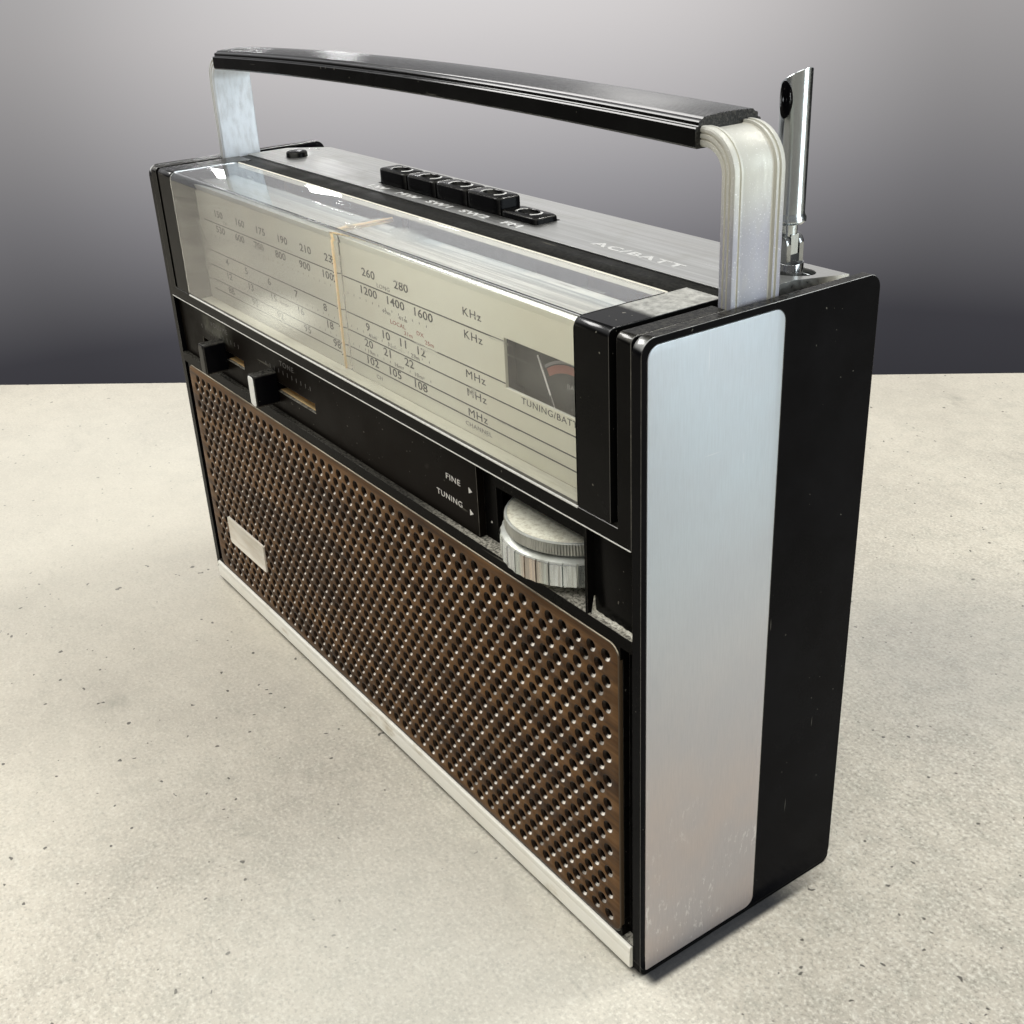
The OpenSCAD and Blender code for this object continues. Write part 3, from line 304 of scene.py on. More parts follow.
def upward(tree, low=0.55, high=0.9):
    """1 on what faces up on the piece itself, 0 elsewhere."""
    normal = add(tree, "ShaderNodeTexCoord").outputs["Normal"]
    z = add(tree, "ShaderNodeSeparateXYZ", Vector=normal).outputs["Z"]
    return ease(tree, z, low, high)


def scratches(tree, amount=0.62, fineness=30):
    """Thin scratches in two directions; 0 where there is none."""
    one = grain(tree, fineness, (1, 22, 1.4), (0.5, 0.2, 0.9), detail=2)
    two = grain(tree, fineness * 0.8, (1, 1.3, 24), (-0.6, 0.3, -0.4), detail=2)
    return sums(tree, "MAXIMUM", ease(tree, one, amount, amount + 0.05),
                ease(tree, two, amount, amount + 0.05))


dust_colour = (0.46, 0.44, 0.37)


def rounded_edges(tree):
    """1 on the rounded edges of a square piece, 0 on its flats."""
    normal = add(tree, "ShaderNodeTexCoord").outputs["Normal"]
    normal = add(tree, "ShaderNodeVectorMath", {"operation": "ABSOLUTE"}, s0=normal).outputs[0]
    parts = add(tree, "ShaderNodeSeparateXYZ", Vector=normal).outputs
    most = sums(tree, "MAXIMUM", sums(tree, "MAXIMUM", parts["X"], parts["Y"]), parts["Z"])
    return ease(tree, most, 0.80, 0.97, 1.0, 0.0)


def moulding(name, colour, shine, rough, dust, texture, marks=0.72, wear=0.35, edge_shine=0.6, dust_from=None):
    """Black plastic: a cloudy depth of colour, a fine skin, specks, scratches, polished edges, and dust on top."""
    material, tree, shader = finish(name)
    clouds = grain(tree, 45, detail=5)
    body = tint(tree, ease(tree, clouds, 0.3, 0.75), colour, [c * 1.6 + 0.001 for c in colour])
    specks = ease(tree, grain(tree, 700, detail=1), 0.77, 0.80)
    lines = scratches(tree, marks)
    edges = rounded_edges(tree)
    # Rounded edges rubbed pale: edge wear, and where wear is set high a painted highlight.
    rubbed_and_highlit = times(tree, edges, ease(tree, grain(tree, 220, detail=6, rough=0.7), 0.35, 0.75, 0.2, 1.0))
    worn_and_highlit = sums(tree, "MAXIMUM", times(tree, sums(tree, "MAXIMUM", specks, lines), 0.22),
                times(tree, rubbed_and_highlit, wear))
    body = tint(tree, worn_and_highlit, body, dust_colour)
    fluff = ease(tree, grain(tree, 1100, detail=3), 0.38, 0.60, 0.25, 1.0)
    settled = times(tree, times(tree, upward(tree), fluff), dust)
    if dust_from:
        settled = times(tree, settled, ease(tree, coordinate(tree, "X"), *dust_from, 0.12, 1.0))
    body = tint(tree, settled, body, dust_colour)
    skin = ease(tree, clouds, 0.3, 0.7, rough * 0.75, rough * 1.35)
    skin = sums(tree, "ADD", skin, times(tree, sums(tree, "MAXIMUM", lines, settled), 0.35))
    wire(tree, shader, Base_Color=body, Roughness=skin,
         Specular_IOR_Level=ease(tree, edges, 0.0, 1.0, shine, edge_shine))
    pores = sums(tree, "SUBTRACT", grain(tree, 1900, detail=2), times(tree, lines, 0.6))
    relief(tree, shader, pores, texture, 0.6)
    return material


def opened(material):
    """The node tree, the shader and the colour of a finish that is to be painted over."""
    shader = material.node_tree.nodes["Principled BSDF"]
    return material.node_tree, shader, shader.inputs["Base Color"].links[0].from_socket


gloss_black = moulding("gloss_black", (0.0024, 0.0024, 0.0031), shine=0.03, rough=0.16, dust=0.08, texture=0.00001,
                       marks=0.765, wear=0.2, edge_shine=1.0)
tree, shader, body = opened(gloss_black)
# Painted highlight: the upper rounded edges of the end panels are pale in broken patches.
rubbed_and_highlit = times(tree, rounded_edges(tree), upward(tree, 0.3, 0.5))
rubbed_and_highlit = times(tree, rubbed_and_highlit, ease(tree, grain(tree, 90, (1, 0.4, 1), detail=5), 0.35, 0.6, 0.25, 0.9))
wire(tree, shader, Base_Color=tint(tree, rubbed_and_highlit, body, (0.62, 0.63, 0.62)))
dress(gloss_black, "end_panel_left", "end_panel_right", edge=0.8, steps=4)

# Side plates: sheets of anodised aluminium, let into the end panels and glued. Their grain is fine and
# upright, and keys and rings have left pale scratches.
plate_light, plate_warm, plate_dark = (0.44, 0.50, 0.545), (0.53, 0.45, 0.41), (0.41, 0.42, 0.45)
side_metal, tree, shader = finish("side_metal", Metallic=0.6)
fibre = grain(tree, 300, (1, 9, 0.5), detail=5)
clouds = grain(tree, 22, detail=4)
nicks = scratches(tree, 0.745, 42)
# Painted reflection: the plate runs from warm at its foot to pale bluish grey at its top.
plate_tone_and_reflection = tint(tree, ease(tree, coordinate(tree, "Z"), 0.02, 0.16), plate_warm, plate_light)
plate_tone_and_reflection = tint(tree, ease(tree, clouds, 0.35, 0.7, 0.0, 0.5), plate_tone_and_reflection, plate_dark)
plate_tone_and_reflection = tint(tree, times(tree, ease(tree, fibre, 0.35, 0.7), 0.15), plate_tone_and_reflection, (0.34, 0.34, 0.35))
rubs = ease(tree, grain(tree, 620, (1, 0.8, 0.3), (0.7, 0, 0), detail=5, rough=0.75), 0.56, 0.62)
rubs = times(tree, rubs, ease(tree, grain(tree, 45, detail=3), 0.46, 0.56))
rubs = times(tree, rubs, ease(tree, coordinate(tree, "Z"), 0.075, 0.02))
nicks = sums(tree, "MAXIMUM", times(tree, nicks, 0.5), rubs)
plate_tone_and_reflection = tint(tree, times(tree, nicks, 0.5), plate_tone_and_reflection, (0.80, 0.78, 0.75))
wire(tree, shader, Base_Color=plate_tone_and_reflection, Roughness=ease(tree, fibre, 0.3, 0.7, 0.36, 0.50))
relief(tree, shader, sums(tree, "SUBTRACT", fibre, nicks), 0.00003, 0.35)


def piece(name, mesh, body, slot, *finishes, replaced=(), crease=35):
    """Makes a mesh piece from a bmesh, smooth up to the crease angle, riding on a body."""
    bmesh.ops.recalc_face_normals(mesh, faces=mesh.faces)
    data = bpy.data.meshes.new(name)
    mesh.to_mesh(data)
    mesh.free()
    for material in finishes:
        data.materials.append(material)
    data.shade_smooth()
    data.set_sharp_from_angle(angle=math.radians(crease))
    made = bpy.data.objects.new(name, data)
    bpy.context.scene.collection.objects.link(made)
    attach(made, body)
    if replaced:
        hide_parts(*replaced)
    return made


def loft(mesh, rings, index=0, ends=(True, True)):
    """Skins rings of points in millimetres with quads, and closes the ends that are asked for."""
    rows = [[mesh.verts.new(at(*p)) for p in ring] for ring in rings]
    for a, b in zip(rows, rows[1:]):
        for i in range(len(a)):
            j = (i + 1) % len(a)
            mesh.faces.new((a[i], a[j], b[j], b[i])).material_index = index
    for row, wanted in zip((rows[0], rows[-1]), ends):
        if wanted:
            mesh.faces.new(row).material_index = index
    return rows


def oblong(a0, a1, b0, b1, r, steps=5):
    """A rectangle with round corners as pairs, anticlockwise; r is one radius, or four from the far upper one on."""
    most = min(a1 - a0, b1 - b0) / 2 - 1e-3
    corners = ((a1, b1, -1, -1), (a0, b1, 1, -1), (a0, b0, 1, 1), (a1, b0, -1, 1))
    points = []
    for turn, (a, b, in_a, in_b) in enumerate(corners):
        bend = min(r[turn] if isinstance(r, tuple) else r, most)
        for i in range(steps + 1):
            t = math.pi / 2 * (turn + i / steps)
            points.append((a + bend * (in_a + math.cos(t)), b + bend * (in_b + math.sin(t))))
    return points


x0, x1, d0, d1, z0, z1 = span_of("side_plate_right")
plate_corners, plate_foot, plate_proud = (3.2, 3.2, 0.7, 3.0), 0.6, 0.05
for side, name in ((1, "side_plate_right"), (-1, "side_plate_left")):
    mesh = bmesh.new()
    loft(mesh, [[(side * x, d, z) for d, z in
                 oblong(d0 + inset, d1 - inset, plate_foot + inset, z1 - inset, plate_corners, 8)]
                for x, inset in ((x0, 0.0), (x1 - 0.05, 0.0), (x1 + 0.02, 0.06), (x1 + plate_proud, 0.2))])
    piece(name + "_sheet", mesh, "cabinet", "side_metal", side_metal, replaced=(name,))

# Front moulding: one shot of black styrene that carries the grille, the control band and the dial
# frame. Dust has gathered on the ledge under the controls and in the grooves beside the grille.
front_black = moulding("front_black", (0.0030, 0.0028, 0.0026), shine=0.02, rough=0.26, dust=1.0, texture=0.00002,
                       wear=0.7, edge_shine=0.9, dust_from=(0.035, 0.085))
dress(front_black, "front_cabinet", edge=0.35)

# Rear cover: a deep moulding with a fine leather grain and six vents, held by four sunk screws. The
# battery door hinges at its foot, and the mains inlet sits in a square hole.
rear_grain = moulding("rear_grain", (0.007, 0.007, 0.0075), shine=0.2, rough=0.46, dust=0.4, texture=0.00010)
dress(rear_grain, "rear_cover", "battery_door", edge=0.4)
inlet_black = moulding("inlet_black", (0.010, 0.010, 0.011), shine=0.3, rough=0.32, dust=0.2, texture=0.00002)
dress(inlet_black, "mains_inlet", edge=0.2)


def metal(name, colour, rough, fineness=250, stretch=(1, 1, 1), stain=(0.35, 0.34, 0.31), stained=0.3, bite=0.00002):
    """Bare metal with a grain, dull stains, and a roughness that follows both."""
    material, tree, shader = finish(name, Metallic=1.0)
    fibre = grain(tree, fineness, stretch, detail=5)
    clouds = ease(tree, grain(tree, 70, detail=4), 0.45, 0.8)
    body = tint(tree, ease(tree, fibre, 0.3, 0.7), colour, [c * 0.86 for c in colour])
    body = tint(tree, times(tree, clouds, stained), body, stain)
    skin = ease(tree, fibre, 0.3, 0.7, rough * 0.8, rough * 1.25)
    wire(tree, shader, Base_Color=body, Roughness=sums(tree, "ADD", skin, times(tree, clouds, 0.12)))
    relief(tree, shader, fibre, bite, 0.4)
    return material


screw_steel = metal("screw_steel", (0.56, 0.56, 0.55), rough=0.34)
dress(screw_steel, "rear_screws", edge=0.15)

# Dial frame: a black moulding with a lip, a floor and a stile at each end, and two pillars that hold
# the ends of the clear cover. The pillars' tops are grained behind, and dust lies in that grain.
frame_black = moulding("frame_black", (0.0030, 0.0029, 0.0028), shine=0.03, rough=0.2, dust=0.06, texture=0.00002,
                       wear=0.3, edge_shine=1.0)
dress(frame_black, "dial_bezel", edge=0.5, steps=3)
pillar_black, tree, shader = finish("pillar_black")
top = times(tree, upward(tree, 0.75, 0.95), ease(tree, coordinate(tree), -0.0265, -0.0235))
top = times(tree, top, ease(tree, coordinate(tree, "X"), -0.05, 0.05, 0.12, 1.0))
sand = grain(tree, 1500, detail=2)
powder = times(tree, top, ease(tree, grain(tree, 420, detail=6, rough=0.75), 0.25, 0.7, 0.45, 1.0))
clouds = grain(tree, 45, detail=5)
specks = ease(tree, grain(tree, 620, detail=1), 0.75, 0.79)
body = tint(tree, ease(tree, clouds, 0.3, 0.75), (0.0036, 0.0036, 0.0036), (0.007, 0.0068, 0.0066))
body = tint(tree, times(tree, specks, 0.4), body, dust_colour)
body = tint(tree, powder, body, (0.60, 0.60, 0.56))
wire(tree, shader, Base_Color=body, Specular_IOR_Level=ease(tree, rounded_edges(tree), 0.0, 1.0, 0.04, 1.0),
     Roughness=sums(tree, "ADD", ease(tree, clouds, 0.3, 0.7, 0.16, 0.28), times(tree, top, 0.4)))
coarser = sums(tree, "ADD", times(tree, top, 8), 1)
relief(tree, shader, times(tree, sand, coarser), 0.00002, 0.7)
dress(pillar_black, "pillar_left", "pillar_right", edge=0.3)

# Scale: a cream sheet with a shelf along its top, printed in black and red. Each row has its numbers,
# a ruled line below them, and small marks for the metre bands.
scale_cream, tree, shader = finish("scale_cream", Specular_IOR_Level=0.4)
along = coordinate(tree, "X")
# Painted shade: the paper is much darker towards the left end.
left_painted_shade = ease(tree, along, -0.08, 0.045)
clouds = grain(tree, 30, detail=5)
paper = tint(tree, left_painted_shade, (0.28, 0.27, 0.235), (0.68, 0.67, 0.55))
paper = tint(tree, ease(tree, along, 0.055, 0.10), paper, (0.60, 0.585, 0.455))
paper = tint(tree, times(tree, ease(tree, clouds, 0.4, 0.75), 0.25), paper, (0.52, 0.45, 0.33))
shelf = upward(tree, 0.8, 0.95)
streaks = ease(tree, grain(tree, 1150, (0.006, 1, 1), detail=4, rough=0.75), 0.46, 0.56)
# Painted shade: the shelf darkens and turns bluer towards its rear, and darkens at its left end.
rear = ease(tree, coordinate(tree), -0.021, -0.014)
lines = tint(tree, rear, (0.15, 0.15, 0.125), (0.10, 0.135, 0.145))
ground = tint(tree, rear, (0.48, 0.47, 0.40), (0.27, 0.32, 0.33))
ground = tint(tree, ease(tree, grain(tree, 34, (0.5, 1, 1), detail=5), 0.45, 0.65), ground, (0.62, 0.62, 0.56))
ground = tint(tree, ease(tree, along, 0.0, -0.10, 0.0, 0.85), ground, (0.20, 0.22, 0.23))
paper = tint(tree, shelf, paper, tint(tree, times(tree, streaks, 0.85), ground, lines))
wire(tree, shader, Base_Color=paper, Roughness=ease(tree, clouds, 0.3, 0.7, 0.42, 0.60))
relief(tree, shader, grain(tree, 900, detail=3), 0.00003, 0.3)
dress(scale_cream, "scale_plate", edge=0.15)


def ink(name, colour, wear=0.35):
    """Screen-printed ink, thin in places."""
    material, tree, shader = finish(name, Specular_IOR_Level=0.3)
    thin = times(tree, ease(tree, grain(tree, 900, detail=4), 0.45, 0.75), wear)
    wire(tree, shader, Base_Color=tint(tree, thin, colour, [0.5 * c + 0.12 for c in colour]),
         Roughness=ease(tree, thin, 0.0, 0.4, 0.45, 0.7))
    return material


ink_lift, capital_share = 0.06, 0.69
right_way, up_way, front_way = (1, 0, 0), (0, 0, 1), (0, -1, 0)


def letters(mesh, text, middle, height, stretch=1.4, spacing=1.05, bold=0.0, upright=up_way, out=front_way):
    """Adds lettering that reads to the right, centred at middle; height is that of a capital."""
    font = bpy.data.curves.new("lettering", "FONT")
    font.body, font.size, font.align_x, font.align_y = text, 1.0, "CENTER", "CENTER"
    font.space_character, font.resolution_u, font.extrude, font.offset = spacing, 3, 0.5, bold
    holder = bpy.data.objects.new("lettering", font)
    solid = bpy.data.meshes.new_from_object(holder)
    scale = height / capital_share / 1000
    across, upright, out = Vector(right_way), Vector(upright), Vector(out)
    points = [mesh.verts.new(middle + across * v.co.x * scale * stretch + upright * v.co.y * scale
                             + out * (v.co.z + 0.5) * ink_lift / 1000) for v in solid.vertices]
    for face in solid.polygons:
        mesh.faces.new([points[i] for i in face.vertices])
    bpy.data.objects.remove(holder)
    bpy.data.curves.remove(font)
    bpy.data.meshes.remove(solid)


def bar(mesh, low, high, finish_index=0):
    """Adds a straight bar between two corners given in millimetres."""
    corners = [mesh.verts.new(at(x, d, z)) for x in (low[0], high[0]) for d in (low[1], high[1])
               for z in (low[2], high[2])]
    for loop in ((0, 1, 3, 2), (4, 6, 7, 5), (0, 4, 5, 1), (2, 3, 7, 6), (0, 2, 6, 4), (1, 5, 7, 3)):
        mesh.faces.new([corners[i] for i in loop]).material_index = finish_index


def soften(mesh, width, steps=2):
    """Rounds all edges of a mesh by width millimetres."""
    bmesh.ops.bevel(mesh, geom=list(mesh.edges), offset=width / 1000, segments=steps, profile=0.5, affect="EDGES")


scale_d = span_of("scale_plate")[2]
foot_cream, tree, shader = finish("foot_cream", Specular_IOR_Level=0.3)
clouds = grain(tree, 260, (0.15, 1, 1), detail=5)
# Painted shade: the foot is dark just behind the lip and pale further back; random darker clouds lie over it.
foot_shade_and_tone = tint(tree, ease(tree, coordinate(tree), -0.0355, -0.0325), (0.15, 0.13, 0.10), (0.47, 0.46, 0.37))
foot_shade_and_tone = tint(tree, ease(tree, clouds, 0.45, 0.75, 0.0, 0.6), foot_shade_and_tone, (0.26, 0.24, 0.19))
wire(tree, shader, Base_Color=foot_shade_and_tone, Roughness=ease(tree, clouds, 0.3, 0.7, 0.4, 0.65))
relief(tree, shader, clouds, 0.00003, 0.3)
x0, x1, d0, d1, z0, z1 = span_of("scale_plate")
mesh = bmesh.new()
bar(mesh, (x0 + 0.2, 2.2, z0 - 0.15), (x1 - 0.2, scale_d - 0.1, z0 + 0.1))
soften(mesh, 0.08)
piece("scale_foot", mesh, "cabinet", "dial_print", foot_cream)
# Painted highlights: pale strips along the lip's lower and upper edges, where its rounded edges would catch the light.
lip_highlight = ink("lip_highlight", (0.78, 0.78, 0.74), wear=0.8)
lip_foot, lip_head, lip_end = 133.6, 138.0, 146.4
mesh = bmesh.new()
bar(mesh, (-lip_end, -0.12, lip_foot - 0.1), (lip_end, 0.4, lip_foot + 0.28))
bar(mesh, (x0, -0.1, lip_head - 0.45), (x1, 0.4, lip_head + 0.08))
soften(mesh, 0.12)
piece("lip_highlights", mesh, "cabinet", "cream_plastic", lip_highlight)
meter_left = 83.8
rule_heights = (167.6, 155.8, 149.8, 144.0, 140.1)
rule_ends = (meter_left, meter_left, 126.0, 126.0, 126.0)
dial_rows = (
    (171.4, ((-106, "150"), (-86, "160"), (-68, "175"), (-50, "190"), (-32, "210"), (-14, "235"), (11.1, "260"),
             (30.9, "280"))),
    (165.4, ((-106, "530"), (-88, "600"), (-71, "700"), (-53, "800"), (-34, "900"), (-16, "1000"), (9.9, "1200"),
             (26.4, "1400"), (42.4, "1600"))),
    (153.5, ((-104, "4"), (-86, "5"), (-66, "6"), (-44, "7"), (-22, "8"), (7.4, "9"), (18.6, "10"), (29.3, "11"),
             (39.5, "12"))),
    (147.9, ((-104, "12"), (-84, "13"), (-64, "15"), (-42, "16"), (-20, "18"), (6.9, "20"), (19.1, "21"), (32, "22"))),
    (142.2, ((-104, "88"), (-82, "90"), (-60, "92"), (-38, "95"), (-16, "98"), (8.1, "102"), (22.4, "105"),
             (37.6, "108"))),
)
unit_x = 68.8
units = ((171.5, "KHz"), (165.0, "KHz"), (153.4, "MHz"), (147.8, "MHz"), (141.8, "MHz"))
print_black = ink("print_black", (0.016, 0.015, 0.014))
mesh = bmesh.new()
for z, end in zip(rule_heights, rule_ends):
    bar(mesh, (-121, scale_d - ink_lift, z - 0.19), (end, scale_d, z + 0.19))
for z, numbers in dial_rows:
    for x, text in numbers:
        letters(mesh, text, at(x, scale_d, z), height=2.5, stretch=1.5, bold=0.010)
for z, text in units:
    letters(mesh, text, at(unit_x, scale_d, z), height=2.3, stretch=1.45, spacing=1.15)
letters(mesh, "TUNING/BATT", at(102.9, scale_d, 153.0), height=1.75, stretch=1.32, spacing=1.12)
piece("scale_print", mesh, "cabinet", "dial_print", print_black)

print_red = ink("print_red", (0.30, 0.085, 0.05), wear=0.5)
print_grey = ink("print_grey", (0.14, 0.13, 0.12), wear=0.5)
band_marks = (
    (161.4, ((20.5, "49m"), (30.5, "41m")), print_grey), (159.0, ((27, "LOCAL"), (40, "DX")), print_red),
    (157.2, ((33, "31m"), (45, "25m")), print_red), (151.0, ((10, "41m"), (22, "31m"), (36, "25m")), print_grey),
    (145.3, ((8, "19m"), (25, "16m"), (37, "13m")), print_grey), (168.9, ((-100, "LW"), (20, "LONG")), print_grey),
    (138.0, ((12, "CH"), (unit_x, "CHANNEL")), print_grey),
)
marks = {print_red: bmesh.new(), print_grey: bmesh.new()}
for z, words, colour in band_marks:
    for x, text in words:
        letters(marks[colour], text, at(x, scale_d, z), height=1.25, stretch=1.5, spacing=1.1)
for x in range(-116, 48, 4):
    for z in (162.4, 151.4, 145.4):
        bar(marks[print_grey], (x, scale_d - ink_lift, z - 0.35), (x + 0.22, scale_d, z + 0.35))
piece("scale_marks_grey", marks[print_grey], "cabinet", "dial_print", print_grey)
piece("scale_marks_red", marks[print_red], "cabinet", "dial_print", print_red)

# Pointer: a thin strip of orange acrylic that hangs in front of the scale from a clear carriage on
# the guide rail. The cord behind the shelf draws it along.
def two_tone(name, first, second, rough, speckle, turn_over=(0.3, 0.7), bump=(0.00003, 0.4), skin=None, **plain):
    """A finish of two colours in one grain. rough is its least and most roughness, turn_over where the grain
    goes from one colour to the other, bump the relief's depth in metres and strength, skin a finer relief."""
    material, tree, shader = finish(name, **plain)
    tone = grain(tree, **speckle)
    wire(tree, shader, Base_Color=tint(tree, ease(tree, tone, *turn_over), first, second),
         Roughness=ease(tree, tone, 0.3, 0.7, *rough))
    relief(tree, shader, grain(tree, skin) if skin else tone, *bump)
    return material


pointer_orange = two_tone("pointer_orange", (0.92, 0.72, 0.40), (0.88, 0.62, 0.30), rough=(0.22, 0.36),
                          speckle=dict(fineness=160, detail=3), bump=(0.00001, 0.3), skin=900, Subsurface_Weight=0.3,
                          Subsurface_Radius=(0.002, 0.001, 0.0005), Specular_IOR_Level=0.5)
pointer_clear = two_tone("pointer_clear", (0.985, 0.975, 0.96), (0.96, 0.94, 0.91), rough=(0.0, 0.04),
                         speckle=dict(fineness=300, detail=4), bump=(0.0000005, 0.1), Transmission_Weight=1.0,
                         IOR=1.06)
x0, x1, d0, d1, z0, z1 = span_of("pointer")
needle_x, needle_half, arm_edge_half = -5.8, 0.42, 3.0
arm_z, arm_end = z1 - 0.8, 27.6
carriage_front, carriage_back, carriage_foot = 28, 33, 168
clamp_half, clamp_foot, clamp_head = 3, 170, 176
mesh = bmesh.new()
bar(mesh, (needle_x - needle_half, d0, z0), (needle_x + needle_half, d0 + 0.7, z1))
bar(mesh, (needle_x - needle_half, d0, arm_z), (needle_x + needle_half, carriage_front + 1, z1))
soften(mesh, 0.12)
piece("pointer_needle", mesh, "pointer", "pointer_plastic", pointer_orange, replaced=("pointer",))
mesh = bmesh.new()
bar(mesh, (needle_x - arm_edge_half, d0 + 0.8, z0), (needle_x + arm_edge_half, d0 + 1.3, arm_z - 0.1))
bar(mesh, (needle_x - arm_edge_half, d0 + 0.8, arm_z), (needle_x + arm_edge_half, arm_end, z1 - 0.1))
bar(mesh, (x0, carriage_front, carriage_foot), (x1, carriage_back, z1))
bar(mesh, (needle_x - clamp_half, carriage_back, clamp_foot), (needle_x + clamp_half, d1, clamp_head))
soften(mesh, 0.12)
pointer_frame = piece("pointer_carriage", mesh, "pointer", "clear", pointer_clear)
pointer_frame.visible_shadow = False
rail_steel = metal("rail_steel", (0.60, 0.60, 0.58), rough=0.25, fineness=400, stretch=(0.05, 1, 1))
dress(rail_steel, "pointer_rail", edge=0.2)

# Meter: a small moving-coil movement in a dark case behind a window of the scale. A white needle
# swings over a grey and a red arc.
meter_grey = two_tone("meter_grey", (0.040, 0.041, 0.042), (0.062, 0.062, 0.060), rough=(0.45, 0.65),
                      speckle=dict(fineness=120, detail=5), bump=(0.00002, 0.4), skin=1500, Specular_IOR_Level=0.4)
dress(meter_grey, "meter_housing", edge=0.2)
needle_white = ink("needle_white", (0.82, 0.80, 0.76), wear=0.2)
x0, x1, d0, d1, z0, z1 = span_of("meter_needle")
needle_top, needle_foot, needle_root, rod_half = (95.2, 166.1), (100.2, 156.5), (103.5, 150.2), 0.24
hub_x, hub_z, hub_half = 104.8, 150, 1.6
mesh = bmesh.new()
rod = [[mesh.verts.new(at(x + side * rod_half * 0.89, d, z + side * rod_half * 0.46)) for side, d in
        ((-1, d0), (1, d0), (1, d0 + 0.3), (-1, d0 + 0.3))] for x, z in (needle_top, needle_foot, needle_root)]
for index, (head, foot) in enumerate(zip(rod, rod[1:])):
    for i in range(4):
        mesh.faces.new((head[i], head[i - 3], foot[i - 3], foot[i])).material_index = index
for ring in (rod[0], rod[-1]):
    mesh.faces.new(ring)
bar(mesh, (hub_x - hub_half, d0, hub_z - hub_half), (hub_x + hub_half, d0 + 0.4, hub_z + hub_half), 1)
soften(mesh, 0.08)
piece("meter_needle_rod", mesh, "meter_needle", "cream_plastic", needle_white, meter_grey, replaced=("meter_needle",))
meter_pivot_x, meter_pivot_z = 108.9, 145.5
meter_floor_d = d1 + 0.3
card_x0, card_x1, card_z0, card_z1 = 83.9, 125.7, 154.7, 168.5
card_grey = ink("card_grey", (0.030, 0.033, 0.031), wear=0.2)
mesh = bmesh.new()
bar(mesh, (card_x0, meter_floor_d, card_z0), (card_x1, meter_floor_d + 0.5, card_z1))
soften(mesh, 0.1)
piece("meter_card", mesh, "cabinet", "dial_print", card_grey)


def arc(mesh, inner, outer, start, end, steps=28):
    """A flat ring sector on the meter's floor; angles are from the vertical, to the right."""
    rows = []
    for r in (inner, outer):
        for d in (meter_floor_d - ink_lift, meter_floor_d):
            row = []
            for i in range(steps + 1):
                a = math.radians(start + (end - start) * i / steps)
                row.append(mesh.verts.new(at(meter_pivot_x + r * math.sin(a), d, meter_pivot_z + r * math.cos(a))))
            rows.append(row)
    for a, b in ((0, 2), (2, 3), (3, 1), (1, 0)):
        for i in range(steps):
            mesh.faces.new((rows[a][i], rows[a][i + 1], rows[b][i + 1], rows[b][i]))
    for i in (0, steps):
        mesh.faces.new((rows[0][i], rows[2][i], rows[3][i], rows[1][i]))


arc_grey, arc_red = ink("arc_grey", (0.26, 0.25, 0.25)), ink("arc_red", (0.33, 0.115, 0.085))
mesh = bmesh.new()
arc(mesh, 20.9, 21.7, -33, 42)
letters(mesh, "BATT", at(109.5, meter_floor_d, 160.4), height=1.3, stretch=1.3)
piece("meter_print", mesh, "cabinet", "dial_print", arc_grey)
mesh = bmesh.new()
arc(mesh, 18.4, 20.6, -32, 42)
piece("meter_red_arc", mesh, "cabinet", "dial_print", arc_red)

# Dial cover: one clear acrylic moulding, front and top in one, slid between the pillars. It has
# yellowed little, but hairline scratches cross its top.
cover_clear, tree, shader = finish("cover_clear", Base_Color=(0.975, 0.985, 0.975, 1), Transmission_Weight=1.0,
                                   IOR=1.49)
hairlines = scratches(tree, 0.66, 36)
haze = ease(tree, grain(tree, 60, detail=5), 0.5, 0.8)
wire(tree, shader, Roughness=sums(tree, "ADD", times(tree, hairlines, 0.12), times(tree, haze, 0.03)))
relief(tree, shader, hairlines, 0.00001, 0.25)
x0, x1, d0, d1, z0, z1 = span_of("dial_cover")
cover_t, cover_r, turns = 1.0, 3.0, 8


def cover_bend(r):
    """The front upper corner of the cover, a quarter turn of radius r from the front to the top."""
    angles = [math.pi / 2 * i / turns for i in range(turns + 1)]
    return [(d0 + cover_r - r * math.cos(a), z1 - cover_r + r * math.sin(a)) for a in angles]


cover_profile = [(d0, z0 + 0.3)] + cover_bend(cover_r) + [(d1 - 0.3, z1), (d1, z1 - 0.3), (d1, z1 - cover_t)]
cover_profile += list(reversed(cover_bend(cover_r - cover_t))) + [(d0 + cover_t, z0), (d0 + 0.3, z0)]
mesh = bmesh.new()
loft(mesh, [[(x, d, z) for d, z in cover_profile] for x in (x0, x1)])
dial_cover = piece("dial_cover_shell", mesh, "cabinet", "clear", cover_clear, replaced=("dial_cover",), crease=25)
dial_cover.visible_shadow = False

# Control panel: a black anodised strip in the band under the dial, with the slots of the two sliders.
# Its legends are white print.
panel_black = moulding("panel_black", (0.0050, 0.0038, 0.0029), shine=0.02, rough=0.36, dust=0.5, texture=0.00003,
                       wear=0.5)
tree, shader, body = opened(panel_black)
# An olive-grey patch on the panel behind the top of the volume knob.
olive_patch = times(tree, within(tree, "X", -0.116, -0.098, 0.008), within(tree, "Z", 0.1255, 0.130, 0.003))
olive_patch = times(tree, olive_patch, ease(tree, grain(tree, 160, detail=5), 0.35, 0.6, 0.3, 1.0))
wire(tree, shader, Base_Color=tint(tree, olive_patch, body, (0.105, 0.105, 0.085)))
dress(panel_black, "control_panel", edge=0.2)
print_white = ink("print_white", (0.72, 0.71, 0.67), wear=0.3)
panel_d = span_of("control_panel")[2]
mesh = bmesh.new()
letters(mesh, "FINE", at(64.9, panel_d, 123.0), height=1.8, stretch=1.4, spacing=1.12)
letters(mesh, "TUNING", at(62.3, panel_d, 116.2), height=1.8, stretch=1.3, spacing=1.12)
arrow = ((73.2, 0.95), (75.0, 0), (73.2, -0.95))
for z in (122.6, 115.6):
    loft(mesh, [[(x, panel_d - lift, z + h) for x, h in arrow] for lift in (0, ink_lift)])
dot_x, dot_z, dot_r, wall_d = 80.5, 114.5, 0.34, 4.5
dot_turns = [t * math.pi / 6 for t in range(12)]
loft(mesh, [[(dot_x + dot_r * math.cos(t), wall_d - lift, dot_z + dot_r * math.sin(t)) for t in dot_turns]
            for lift in (0, ink_lift)])
piece("panel_print", mesh, "cabinet", "dial_print", print_white)
